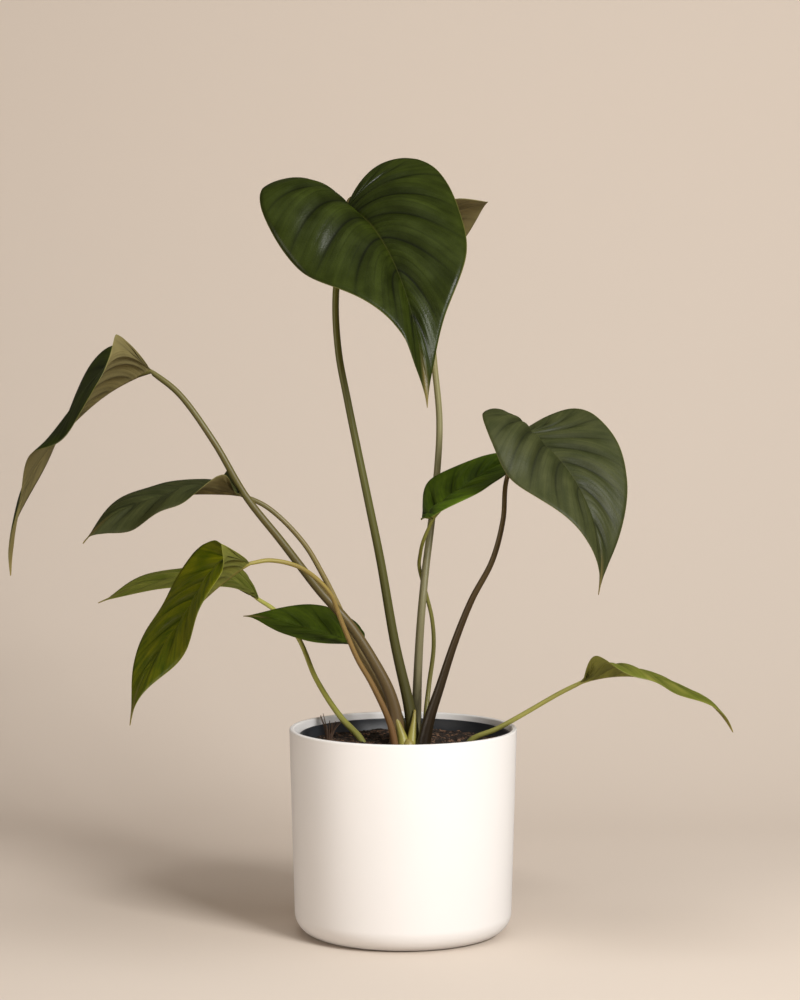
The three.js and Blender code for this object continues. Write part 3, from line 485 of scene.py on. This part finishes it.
class Midrib:
    """The midrib's line with its side and up directions, from behind the lobes to just past the tip."""

    def __init__(self, leaf):
        start = -leaf["lobe"] * 1.4 - 2
        self.u = np.linspace(start, leaf["length"] * 1.02, SPINE_STEPS + 1)
        q = self.u / leaf["length"]
        heading, pitch, roll = (np.radians(along(leaf[key], q)) for key in ("heading", "pitch", "roll"))
        zero = np.zeros_like(q)
        ahead = np.stack([np.cos(pitch) * np.cos(heading), np.cos(pitch) * np.sin(heading), np.sin(pitch)], 1)
        level = np.stack([np.sin(heading), -np.cos(heading), zero], 1)
        above = np.cross(level, ahead)
        turn, tip = np.cos(roll)[:, None], np.sin(roll)[:, None]
        self.side = level * turn + above * tip
        self.up = above * turn - level * tip
        steps = (ahead[1:] + ahead[:-1]) * (self.u[1] - self.u[0]) / 2
        self.at = np.vstack([np.zeros((1, 3)), np.cumsum(steps, 0)])
        self.at += np.array(leaf["joint"]) - self.read(0.0)[0]

    def read(self, u):
        """The place, side and up at u, by straight steps between stations."""
        place = np.clip((np.asarray(u) - self.u[0]) / (self.u[1] - self.u[0]), 0, len(self.u) - 1.001)
        i = np.floor(place).astype(int)
        f = (place - i)[..., None]
        return [row[i] * (1 - f) + row[i + 1] * f for row in (self.at, self.side, self.up)]


def blade_point(leaf, rib, u, v, rise):
    """A place on the blade: u along the midrib, v out from it, plus to the right, raised by rise."""
    # The sweep of the blade towards the tip dies away over the first nine tenths of the leaf
    near = np.clip(u / leaf["length"] / 0.9, 0, 1)
    swept = u + leaf["sweep"] * np.abs(v) * (1 - near * near * (3 - 2 * near))
    at, side, up = rib.read(swept)
    q = swept / leaf["length"]
    fold = np.radians(along(leaf["fold"], q))
    curl = np.radians(np.where(v > 0, along(leaf["right"][0], q), along(leaf["left"][0], q)))
    bend = np.where(np.abs(curl) < 1e-3, 1e-3, curl)
    turned = bend * np.abs(v) / leaf["half_width"]
    out = (np.sin(fold + turned) - np.sin(fold)) / bend * leaf["half_width"]
    lift = (np.cos(fold) - np.cos(fold + turned)) / bend * leaf["half_width"]
    return at + side * (np.sign(v) * out)[..., None] + up * (lift + rise)[..., None]


def margin(leaf, widen, t):
    """The margin of one half at shares t of the way from the joint to the tip."""
    width = leaf["half_width"] * widen
    full = {1: leaf["fullness"], 2: leaf["fullness"], 3: leaf["taper"], 4: leaf["taper"], 5: leaf["taper"]}
    corners = [(a * leaf["lobe"], b * width) for a, b in LOBE]
    corners += [(a * leaf["length"], b * width * full.get(i, 1)) for i, (a, b) in enumerate(SIDE)]
    corners = np.array(corners)
    reach = distances(corners, 0.5)
    s = np.interp(t * reach[-1], reach, np.arange(len(corners))) / (len(corners) - 1)
    return along(corners[:, 0], s), np.maximum(along(corners[:, 1], s), 0)


def blade_normal(leaf, rib, u, v, step=0.5):
    """Which way the blade faces, from the places a step in millimetres to either side and along."""
    side = np.where(v < 0, -1.0, 1.0)
    level = np.zeros_like(u)
    lengthwise = blade_point(leaf, rib, u + step, v, level) - blade_point(leaf, rib, u - step, v, level)
    outer, inner = np.abs(v) + step, np.maximum(np.abs(v) - step, 1e-3)
    across = blade_point(leaf, rib, u, side * outer, level) - blade_point(leaf, rib, u, side * inner, level)
    normal = np.cross(across * side[:, :, None], lengthwise)
    return normal / np.maximum(np.linalg.norm(normal, axis=2, keepdims=True), 1e-9)


def blade_mesh(leaf, rows, columns):
    """The blade's two faces as one closed skin. Rows run out along the side veins."""
    rib = Midrib(leaf)
    t = np.linspace(0, 1, rows + 1)[:, None]
    # Columns stand closer together by the midrib
    half = np.linspace(0, 1, columns + 1)
    half = 0.35 * half**2.2 + 0.65 * half**1.05
    c = np.concatenate([-half[:0:-1], half])[None, :]
    reach = np.abs(c)

    def by_half(right, left):
        return np.where(c > 0, right, left)

    edges = [margin(leaf, leaf[name][1], t[:, 0]) for name in ("right", "left")]
    edge_u, edge_v = (by_half(right[:, None], left[:, None]) for right, left in zip(*edges))
    root = leaf["length"] * np.maximum(0, (t - FAN["start"]) / (1 - FAN["start"])) ** FAN["power"]
    bend_u = root + FAN["arch"] * (edge_u - root)
    u = (1 - reach) ** 2 * root + 2 * reach * (1 - reach) * bend_u + reach**2 * edge_u
    v = np.sign(c) * reach * edge_v

    # The margin's waves and ears, then the domes between the sunken side veins, which flatten out by the margin
    wave, phase = (by_half(leaf["right"][k], leaf["left"][k]) for k in (2, 3))
    ear_height, ear_place = (by_half(leaf["right"][4][k], leaf["left"][4][k]) for k in (0, 1))
    swell = np.sin(np.pi * t)
    ripple = wave * np.sin(2 * np.pi * leaf["waves"] * t + phase) * np.maximum(swell, 0) ** 0.7
    ear = ear_height * np.exp(-((np.abs(t - ear_place) / EAR_WIDTH) ** 1.4))
    veins = round(leaf["rows"] * VEINS["share"])
    from_vein = 2 * np.abs((veins * t) % 1 - 0.5)
    dome = 1 - 2 * (1 - from_vein) ** VEINS["dome"]
    relief = VEINS["depth"] * dome * np.sin(np.pi * np.minimum(reach * 1.15, 1)) * swell
    rise = np.where(np.abs(v) < 1e-6, 0, (ripple + ear) * reach**2 + relief)
    middle = blade_point(leaf, rib, u, v, rise)

    # The skin on both sides of that, with the midrib, which thins towards the tip
    out = np.abs(v)
    near_rib = np.clip(out / SKIN["near_rib"], 0, 1)[:, :, None]
    normal = rib.read(u)[2] * (1 - near_rib) + blade_normal(leaf, rib, u, v) * near_rib
    normal /= np.linalg.norm(normal, axis=2, keepdims=True)
    left_to_tip = np.maximum(0, 1 - u / leaf["length"]) ** 0.7
    thickness = SKIN["thickness"] / 2 * np.where(reach > 0.98, SKIN["margin"], 1.0)
    channel = SKIN["channel"] * np.exp(-((out / SKIN["channel_width"]) ** 2)) * left_to_tip
    keel = SKIN["keel"] * np.exp(-((out / SKIN["keel_width"]) ** 2)) * left_to_tip
    upper = middle + normal * (thickness - channel)[:, :, None]
    lower = middle - normal * (thickness + keel)[:, :, None]
    points = np.vstack([upper.reshape(-1, 3), lower.reshape(-1, 3)])

    # The first and last rows are single points
    index = np.arange(len(points)).reshape(2, rows + 1, -1)
    index[:, 0, :] = index[:, 0, :1]
    index[:, -1, :] = index[:, -1, :1]
    rim = quads(index[:, :, 0].T, turned=True) + quads(index[::-1, :, -1].T, turned=True)
    parts = [quads(index[0]), quads(index[1], turned=True), rim]
    sizes = [len(part) for part in parts]
    slots, smooth = np.repeat([0, 1, 0], sizes), np.repeat([True, True, False], sizes)
    used = np.unique(index)
    renumber = np.full(len(points), -1)
    renumber[used] = np.arange(len(used))
    faces = [renumber[face].tolist() for part in parts for face in part]
    uv = np.stack(np.broadcast_arrays((c + 1) / 2, t * veins), 2).reshape(-1, 2)
    dry = np.broadcast_to(np.clip((t - 0.9) / 0.1, 0, 1), index.shape[1:]).ravel()
    return points[used], faces, slots, smooth, np.vstack([uv, uv])[used], np.concatenate([dry, dry])[used]


def smooth_line(points, spacing):
    """A centripetal curve through points, at even steps of about spacing."""
    points = np.asarray(points, float)
    padded = np.vstack([2 * points[0] - points[1], points, 2 * points[-1] - points[-2]])
    line = []
    for i in range(len(points) - 1):
        p = padded[i : i + 4]
        knots = distances(p, 0.5)
        for s in np.linspace(knots[1], knots[2], 24, endpoint=False):
            a = [p[k] + (p[k + 1] - p[k]) * (s - knots[k]) / (knots[k + 1] - knots[k]) for k in range(3)]
            b = [a[k] + (a[k + 1] - a[k]) * (s - knots[k]) / (knots[k + 2] - knots[k]) for k in range(2)]
            line.append(b[0] + (b[1] - b[0]) * (s - knots[1]) / (knots[2] - knots[1]))
    line = np.array([*line, points[-1]])
    reach = distances(line)
    even = np.linspace(0, reach[-1], max(8, round(reach[-1] / spacing)) + 1)
    return np.stack([np.interp(even, reach, line[:, k]) for k in range(3)], 1), reach[-1]


def tube_mesh(line, radii, sides, flat=0.0):
    """A closed stem round a line. flat, from 0 to 1, presses a shallow channel into one side."""
    tangents = np.gradient(line, axis=0)
    tangents /= np.linalg.norm(tangents, axis=1, keepdims=True)
    spoke = np.cross(tangents[0], [0.3, -1.0, 0.2])
    angles = np.arange(sides) * 2 * np.pi / sides
    channel = 1 - flat * np.exp(-(((angles - np.pi / 2) / 0.45) ** 2))
    points, uv = [], []
    for i, (centre, tangent) in enumerate(zip(line, tangents)):
        spoke = spoke - tangent * np.dot(spoke, tangent)
        spoke /= np.linalg.norm(spoke)
        ring = np.cos(angles)[:, None] * spoke + np.sin(angles)[:, None] * np.cross(tangent, spoke)
        points.append(centre + ring * (radii[i] * channel)[:, None])
        uv.append(np.stack([np.abs(angles / np.pi - 1), np.full(sides, i / (len(line) - 1))], 1))
    rings = np.arange(len(line) * sides).reshape(-1, sides)
    faces = [*quads(rings, closed=True), rings[0, ::-1].tolist(), rings[-1].tolist()]
    return np.vstack(points), faces, np.vstack(uv)


def lathe_mesh(profile, sides, centre=(0, 0), turned=False):
    """A profile of (radius, height) turned round the vertical. Points on the axis are single, and turned is for a
    profile that runs down."""
    points, rings = [], []
    for r, z in profile:
        count = 1 if r < 1e-6 else sides
        rings.append([len(points) + k % count for k in range(sides)])
        for k in range(count):
            angle = 2 * math.pi * k / sides
            points.append((centre[0] + r * math.cos(angle), centre[1] + r * math.sin(angle), z))
    return points, quads(rings, closed=True, turned=turned)


def arc(centre, radius, start, end, steps):
    """Points of a profile along part of a circle, between two angles in degrees."""
    angles = [math.radians(start + (end - start) * i / steps) for i in range(steps + 1)]
    return [(centre[0] + radius * math.cos(a), centre[1] + radius * math.sin(a)) for a in angles]


# Settings that a user would change


def millimetres(name, description, value):
    return bpy.props.FloatProperty(name=name, description=description, default=value, min=0.1, subtype="DISTANCE",
                                   unit="LENGTH")


def colour(name, description, value):
    return bpy.props.FloatVectorProperty(name=name, description=description, default=linear(value)[:3], size=3,
                                         min=0, max=1, subtype="COLOR")


def power(name, description, value):
    return bpy.props.FloatProperty(name=name, description=description, default=value, min=0, unit="POWER")


class PLANT_PG_cover_pot(bpy.types.PropertyGroup):
    rim: millimetres("Rim radius", "Outer radius of the rim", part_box("cover_pot")[1].x)
    height: millimetres("Height", "From the floor to the rim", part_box("cover_pot")[1].z)
    foot: millimetres("Foot radius", "Outer radius just above the rounded foot", 67 * MM)
    corner: millimetres("Foot rounding", "Radius of the rounded foot", 13.5 * MM)
    wall: millimetres("Wall", "Thickness of the wall", 3 * MM)


class PLANT_PG_nursery_pot(bpy.types.PropertyGroup):
    rim_top: millimetres("Rim height", "Top of the rim above the table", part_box("nursery_pot")[1].z)
    stand: millimetres("Underside", "Height of the underside above the table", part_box("nursery_pot")[0].z)
    rim: millimetres("Rim radius", "Outer radius of the rim", 65 * MM)
    wall: millimetres("Wall", "Thickness of the wall", 1.2 * MM)


class PLANT_PG_foliage(bpy.types.PropertyGroup):
    rows: bpy.props.IntProperty(name="Rows", description="Rows of faces from the stalk to the tip", default=190,
                                min=24, max=240)
    columns: bpy.props.IntProperty(name="Columns", description="Columns of faces on each half", default=30, min=8,
                                   max=80)
    sides: bpy.props.IntProperty(name="Stalk sides", description="Faces round each stalk", default=24, min=8, max=48)


class PLANT_PG_stage(bpy.types.PropertyGroup):
    paper: colour("Paper", "Colour of the seamless paper", "#D1C5B9")
    key: power("Key light", "Power of the large light at the front right", 44)
    fill: power("Fill light", "Power of the large light at the front left", 12)
    top: power("Top light", "Power of the large light overhead", 7)
    ambient: bpy.props.FloatProperty(name="Ambient", description="Strength of the even light from all round",
                                     default=0.11, min=0)


# One operator for each piece or group of like pieces


class PLANT_OT_cover_pot(bpy.types.Operator):
    """Builds the white cover pot with its thin rim and rounded foot"""

    bl_idname = "plant.cover_pot"
    bl_label = "Cover pot"

    def execute(self, context):
        sizes = context.scene.plant_cover_pot
        rim, height, foot = sizes.rim / MM, sizes.height / MM, sizes.foot / MM
        corner, wall = sizes.corner / MM, sizes.wall / MM
        # The rounding of the rim, the thickness of the floor, and the rounding inside the foot
        lip, floor, inner = 1.0, 4.0, corner - wall
        profile = [
            (0, 0),
            *arc((foot - corner, corner), corner, -90, 0, 18),
            *arc((rim - lip, height - lip), lip, 0, 90, 6),
            *arc((rim - wall + lip, height - lip), lip, 90, 180, 6),
            *arc((foot - wall - inner, floor + inner), inner, 0, -90, 12),
            (0, floor),
        ]
        points, faces = lathe_mesh(profile, 176)
        piece = new_object("cover_pot_glazed", points, faces, [finished("satin_white_glaze")])
        hand_over(piece, "cover_pot")
        return {"FINISHED"}


class PLANT_OT_nursery_pot(bpy.types.Operator):
    """Builds the thin black nursery pot with its rolled rim and drain holes"""

    bl_idname = "plant.nursery_pot"
    bl_label = "Nursery pot"

    def execute(self, context):
        sizes = context.scene.plant_nursery_pot
        top, stand, rim, wall = sizes.rim_top / MM, sizes.stand / MM, sizes.rim / MM, sizes.wall / MM
        # The body's radius under the rim, the underside's, the rim's lower edge, and the rim's thickness
        body, base, shoulder, band = 62.5, 48, top - 9, wall + 0.4
        profile = [
            (0, stand),
            (base - 2, stand),
            (base - 0.6, stand + 0.6),
            (base, stand + 2),
            (body - 0.3, shoulder - 2),
            (body, shoulder),
            (rim - 0.4, shoulder + 1.2),
            (rim, shoulder + 1.8),
            *arc((rim - 0.6, top - 0.6), 0.6, 0, 90, 5),
            *arc((rim - band + 0.5, top - 0.5), 0.5, 90, 180, 5),
            (rim - band, shoulder + 2.5),
            (body - wall, shoulder),
            (base - wall - 1, stand + wall),
            (0, stand + wall),
        ]
        points, faces = lathe_mesh(profile, 160, (NURSERY_OFFSET, 0))
        piece = new_object("nursery_pot_moulded", points, faces, [finished("moulded_black_polypropylene")])
        # Each drill stands out by 3 mm on both sides of the underside
        hole, low, high = DRAIN_HOLES["radius"], stand - 3, stand + 3
        drills = []
        for i in range(DRAIN_HOLES["count"]):
            angle = 2 * math.pi * i / DRAIN_HOLES["count"]
            place = (NURSERY_OFFSET + DRAIN_HOLES["ring"] * math.cos(angle), DRAIN_HOLES["ring"] * math.sin(angle))
            points, faces = lathe_mesh([(0, low), (hole, low), (hole, high), (0, high)], 24, place)
            drills.append(new_object(f"drill_{i}", points, faces, []))
            cut = piece.modifiers.new(f"drill_{i}", "BOOLEAN")
            cut.object, cut.operation, cut.solver = drills[-1], "DIFFERENCE", "EXACT"
        mesh = bpy.data.meshes.new_from_object(piece.evaluated_get(context.evaluated_depsgraph_get()))
        piece.modifiers.clear()
        piece.data = mesh
        for drill in drills:
            bpy.data.objects.remove(drill)
        hand_over(piece, "nursery_pot")
        return {"FINISHED"}


class PLANT_OT_soil(bpy.types.Operator):
    """Builds the crumbly soil with loose bits of bark on it"""

    bl_idname = "plant.soil"
    bl_label = "Soil"

    def execute(self, context):
        draw = random.Random(11)
        reach, rings, sides = SOIL["reach"], 70, 220
        noise = bpy.data.textures.new("soil_clouds", "CLOUDS")
        noise.noise_scale = 1.0

        def height(x, y):
            """The soil's surface: long swells, with bumps of about 3 and 1 mm across, settled by 0.35 mm."""
            rough = math.sin(x * 0.21 + 1.3) * math.cos(y * 0.17) + 0.6 * math.sin(x * 0.43 - y * 0.37)
            fine = noise.evaluate((x * 0.35, y * 0.35, 0.0))[3] - 0.5
            finer = noise.evaluate((x * 0.9, y * 0.9, 4.0))[3] - 0.5
            return SOIL_LEVEL + 0.5 * rough + 1.1 * fine + 0.7 * finer - 0.35

        profile = [(reach * ring / rings, SOIL_LEVEL) for ring in range(rings + 1)] + SOIL["side"]
        points, faces = lathe_mesh(profile, sides, (NURSERY_OFFSET, 0), turned=True)
        meshes = [([(x, y, height(x - NURSERY_OFFSET, y) if z == SOIL_LEVEL else z) for x, y, z in points], faces)]
        ball, ball_faces = lathe_mesh([(0, -1), *arc((0, 0), 1, -60, 60, 3), (0, 1)], 7)
        for _ in range(SOIL["crumbs"]):
            angle, r = draw.uniform(0, 2 * math.pi), (reach - 1.5) * math.sqrt(draw.random())
            x, y = r * math.cos(angle), r * math.sin(angle)
            # Most crumbs are small, and the largest are 1.5 mm in radius, wider than deep
            size = draw.uniform(0.35, 1.0) ** 1.6 * 1.5
            stretch = [size * draw.uniform(0.7, 1.6), size * draw.uniform(0.5, 1.1), size * draw.uniform(0.4, 0.8)]
            turn = draw.uniform(0, math.pi)
            z = min(height(x, y) + stretch[2] * 0.25, SOIL["peak"] - stretch[2])
            crumb = []
            for bx, by, bz in ball:
                jitter = draw.uniform(0.75, 1.15)
                bx, by, bz = bx * stretch[0] * jitter, by * stretch[1] * jitter, bz * stretch[2]
                crumb.append((NURSERY_OFFSET + x + bx * math.cos(turn) - by * math.sin(turn),
                              y + bx * math.sin(turn) + by * math.cos(turn), z + bz))
            meshes.append((crumb, ball_faces))
        piece = new_object("soil_crumb", *join(meshes), [finished("damp_peat_mix")], smooth=False)
        bpy.data.textures.remove(noise)
        hand_over(piece, "soil")
        return {"FINISHED"}


class PLANT_OT_blades(bpy.types.Operator):
    """Builds the ten heart-shaped blades, each a thin skin with sunken side veins and a raised midrib below"""

    bl_idname = "plant.blades"
    bl_label = "Leaf blades"

    def execute(self, context):
        sizes = context.scene.plant_foliage
        looks = {
            shade: [
                new_material(f"waxy_leaf_{upper}", waxy_leaf, LEAF_COLOURS[upper], roughness, "upper"),
                new_material(f"leaf_{under}side", waxy_leaf, LEAF_COLOURS[under], 0.5, "under"),
            ]
            for shade, (upper, under, roughness) in LEAF_SHADES.items()
        }
        for name, leaf in LEAVES.items():
            points, faces, slots, smooth, uv, dry = blade_mesh(leaf, sizes.rows, sizes.columns)
            both_sides = looks[leaf.get("shade", leaf["look"])]
            piece = new_object(f"leaf_{name}", points, faces, both_sides, uv, slots, smooth, dry)
            hand_over(piece, f"blade_{name}")
        return {"FINISHED"}


class PLANT_OT_stalks(bpy.types.Operator):
    """Builds the ten stalks, from the underside of each blade down into the soil"""

    bl_idname = "plant.stalks"
    bl_label = "Leaf stalks"

    def execute(self, context):
        for name, leaf in LEAVES.items():
            rib = Midrib(leaf)
            at, _, up = rib.read(0.0)
            neck, _, neck_up = rib.read(float(STALK["neck"]))
            foot, before = np.array(leaf["stalk"][-1], float), np.array(leaf["stalk"][-2], float)
            lean = (foot - before) / np.linalg.norm(foot - before)
            tilt = math.hypot(lean[0], lean[1])
            points = [at - up * STALK["under_joint"], *leaf["stalk"]]
            for run, depth in STALK_ROOT:
                points.append(foot + np.array([run * tilt * lean[0], run * tilt * lean[1], -depth]))
            line, length = smooth_line(points, STALK["step"])
            line = np.vstack([neck - neck_up * STALK["under_joint"], line])
            thin, thick = leaf["stalk_radius"]
            s = np.concatenate([[0], np.linspace(0, 1, len(line) - 1)])
            radii = thin + (thick - thin) * s ** STALK["power"]
            height = line[:, 2] - SOIL_LEVEL
            radii += SHEATH_FLARE.get(name, OTHER_FLARE) * np.exp(-np.maximum(height, 0) / FLARE_HEIGHT)
            radii *= np.minimum(STALK["start"] + (1 - STALK["start"]) * s * length / STALK["neck"], 1)
            radii[0] = thin * STALK["end"]
            points, faces, uv = tube_mesh(line, radii, context.scene.plant_foliage.sides, STALK["channel"])
            skin = new_material(f"stalk_skin_{name}", stalk_skin, STALK_COLOURS[name])
            piece = new_object(f"petiole_{name}", points, faces, [skin], uv)
            hand_over(piece, f"stalk_{name}")
        return {"FINISHED"}


class PLANT_OT_crown(bpy.types.Operator):
    """Builds the short green stub that the stalks spring from"""

    bl_idname = "plant.crown"
    bl_label = "Crown"

    def execute(self, context):
        radius, top, root, x0, y0 = 4.6, 121.5, 98, 3.5, -7
        profile = [(0, root), (radius * 0.8, root), (radius, root + 7), (radius, top - 9), (radius * 0.92, top - 6),
                   (radius * 0.8, top - 3.5), (radius * 0.6, top - 1.7), (radius * 0.4, top - 0.7), (0, top)]
        meshes = [lathe_mesh(profile, 32, (x0, y0))]
        uv = [(abs(math.atan2(y - y0, x - x0)) / math.pi, (top - z) / (top - root)) for x, y, z in meshes[0][0]]
        # The sheath's two wings, one up each side of the notch, clasping the stalks behind: each one's line, and its
        # radius at the soil and at its point
        wings = (
            ([(0.8, -5.6, 108), (0.6, -5.3, 116), (-0.6, -4.5, 122), (-2.4, -3.3, 128), (-4.4, -2.2, 134)], 5.8, 1.0),
            ([(4.8, -6.2, 108), (5, -5.6, 117), (5.8, -4, 125), (6.7, -2.1, 132), (7.2, -0.4, 138)], 5.0, 0.7),
        )
        for rule, wide, narrow in wings:
            line, _ = smooth_line(rule, 1.5)
            s = np.linspace(0, 1, len(line))
            points, faces, wing_uv = tube_mesh(line, wide + (narrow - wide) * s**0.8, 20)
            meshes.append((points, faces))
            uv += [(u, 1 - v) for u, v in wing_uv]
        skin = new_material("stalk_skin_crown", stalk_skin, STALK_COLOURS["crown"])
        piece = new_object("crown_sheath", *join(meshes), [skin], uv)
        hand_over(piece, "crown")
        return {"FINISHED"}


class PLANT_OT_dry_tuft(bpy.types.Operator):
    """Builds the dry fibres of an old leaf base in their clod"""

    bl_idname = "plant.dry_tuft"
    bl_label = "Dry tuft"

    def execute(self, context):
        x0, y0, height, spread, fibres = -46, 4, 18, 7, 13
        clod = [(0, 114), (3.2, 114), (4, 116), (4, 118.2), (3.2, 119), (2, 119.4), (0, 119.7)]
        meshes = [lathe_mesh(clod, 14, (x0, y0))]
        # Golden-section steps spread the fibres round the clod, and make no two alike
        for i in range(fibres):
            angle = 2 * math.pi * i * 0.618 + 0.4
            lean = spread * (0.25 + 0.75 * ((i * 0.618) % 1))
            tall = height * (0.55 + 0.45 * ((i * 0.382 + 0.3) % 1))
            rule = [(x0 + math.cos(angle) * out, y0 + math.sin(angle) * out, SOIL_LEVEL + up)
                    for out, up in ((1, 0), (1 + lean * 0.4, tall * 0.6), (1 + lean, tall))]
            line, _ = smooth_line(rule, 1.2)
            points, faces, _ = tube_mesh(line, np.linspace(0.7, 0.2, len(line)), 8)
            meshes.append((points, faces))
        piece = new_object("dry_leaf_base", *join(meshes), [finished("dry_leaf_fibre")])
        hand_over(piece, "dry_tuft")
        return {"FINISHED"}


class PLANT_OT_stage(bpy.types.Operator):
    """Sets the seamless paper, the soft lights and the camera"""

    bl_idname = "plant.stage"
    bl_label = "Stage"

    def execute(self, context):
        settings = context.scene.plant_stage
        paper = new_material("seamless_studio_paper", studio_paper, [*settings.paper, 1])
        back, radius, wide = PAPER["back"], PAPER["radius"], PAPER["half_width"]
        profile = [(PAPER["front"], 0), *arc((back - radius, radius), radius, -90, 0, 24), (back, PAPER["top"])]
        points = [(x, y, z) for y, z in profile for x in (-wide, wide)]
        sweep = new_object("seamless_paper", points, quads(np.arange(len(points)).reshape(-1, 2)), [paper])
        # Black flags would stand here in a studio: the glossy leaves mirror the lights, and not the pale paper
        sweep.visible_glossy = False
        for name, (place, aim, size, setting, tint) in LIGHTS.items():
            light = bpy.data.lights.new(name, "AREA")
            light.shape, light.size, light.energy = "SQUARE", size, getattr(settings, setting)
            light.color = linear(tint)[:3]
            lamp = bpy.data.objects.new(name, light)
            lamp.location = place
            lamp.visible_glossy = name != "top_softbox"
            lamp.rotation_euler = (Vector(aim) - Vector(place)).to_track_quat("-Z", "Y").to_euler()
            context.scene.collection.objects.link(lamp)
        world = bpy.data.worlds.new("studio_room")
        world.use_nodes = True
        tree = world.node_tree
        sky = tree.nodes["Background"]
        sky.inputs["Color"].default_value = linear(ROOM_LIGHT)
        sky.inputs["Strength"].default_value = settings.ambient
        # Past the paper's edge the room looks as pale as the paper, and lights the plant no more for it
        pale = add(tree, "Background", {"Color": linear(ROOM_SEEN), "Strength": 1})
        seen = add(tree, "LightPath").outputs["Is Camera Ray"]
        room = add(tree, "MixShader", {0: seen, 1: sky, 2: pale})
        tree.links.new(room.outputs[0], tree.get_output_node("ALL").inputs["Surface"])
        context.scene.world = world
        camera = bpy.data.cameras.new("camera")
        camera.sensor_width, camera.lens, camera.clip_end = CAMERA["sensor"], CAMERA["lens"], 20
        eye = bpy.data.objects.new("camera", camera)
        eye.location = CAMERA["place"]
        eye.rotation_euler = (math.radians(CAMERA["tilt"]), 0, 0)
        context.scene.collection.objects.link(eye)
        context.scene.camera = eye
        context.scene.view_settings.view_transform = "Standard"
        return {"FINISHED"}


class PLANT_PT_panel(bpy.types.Panel):
    """Lists the pieces in the order they are built"""

    bl_idname = "PLANT_PT_panel"
    bl_label = "Potted plant"
    bl_space_type = "VIEW_3D"
    bl_region_type = "UI"
    bl_category = "Plant"

    def draw(self, context):
        scene = context.scene
        for settings, operators in PANEL_ROWS:
            box = self.layout.box()
            if settings:
                group = getattr(scene, settings)
                for name in group.__annotations__:
                    box.prop(group, name)
            for operator in operators:
                box.operator(operator)


PANEL_ROWS = [
    ("plant_cover_pot", ["plant.cover_pot"]),
    ("plant_nursery_pot", ["plant.nursery_pot"]),
    ("plant_foliage", ["plant.blades", "plant.stalks"]),
    (None, ["plant.soil", "plant.crown", "plant.dry_tuft"]),
    ("plant_stage", ["plant.stage"]),
]
GROUPS = {
    "plant_cover_pot": PLANT_PG_cover_pot,
    "plant_nursery_pot": PLANT_PG_nursery_pot,
    "plant_foliage": PLANT_PG_foliage,
    "plant_stage": PLANT_PG_stage,
}
CLASSES = [*GROUPS.values(), PLANT_OT_cover_pot, PLANT_OT_nursery_pot, PLANT_OT_soil, PLANT_OT_blades,
           PLANT_OT_stalks, PLANT_OT_crown, PLANT_OT_dry_tuft, PLANT_OT_stage, PLANT_PT_panel]


def register():
    for made in CLASSES:
        bpy.utils.register_class(made)
    for name, group in GROUPS.items():
        setattr(bpy.types.Scene, name, bpy.props.PointerProperty(type=group))


def unregister():
    for name in GROUPS:
        delattr(bpy.types.Scene, name)
    for made in reversed(CLASSES):
        bpy.utils.unregister_class(made)


def main():
    register()
    bpy.ops.plant.cover_pot()
    bpy.ops.plant.nursery_pot()
    bpy.ops.plant.soil()
    bpy.ops.plant.blades()
    bpy.ops.plant.stalks()
    bpy.ops.plant.crown()
    bpy.ops.plant.dry_tuft()
    bpy.ops.plant.stage()


if __name__ == "__main__":
    main()
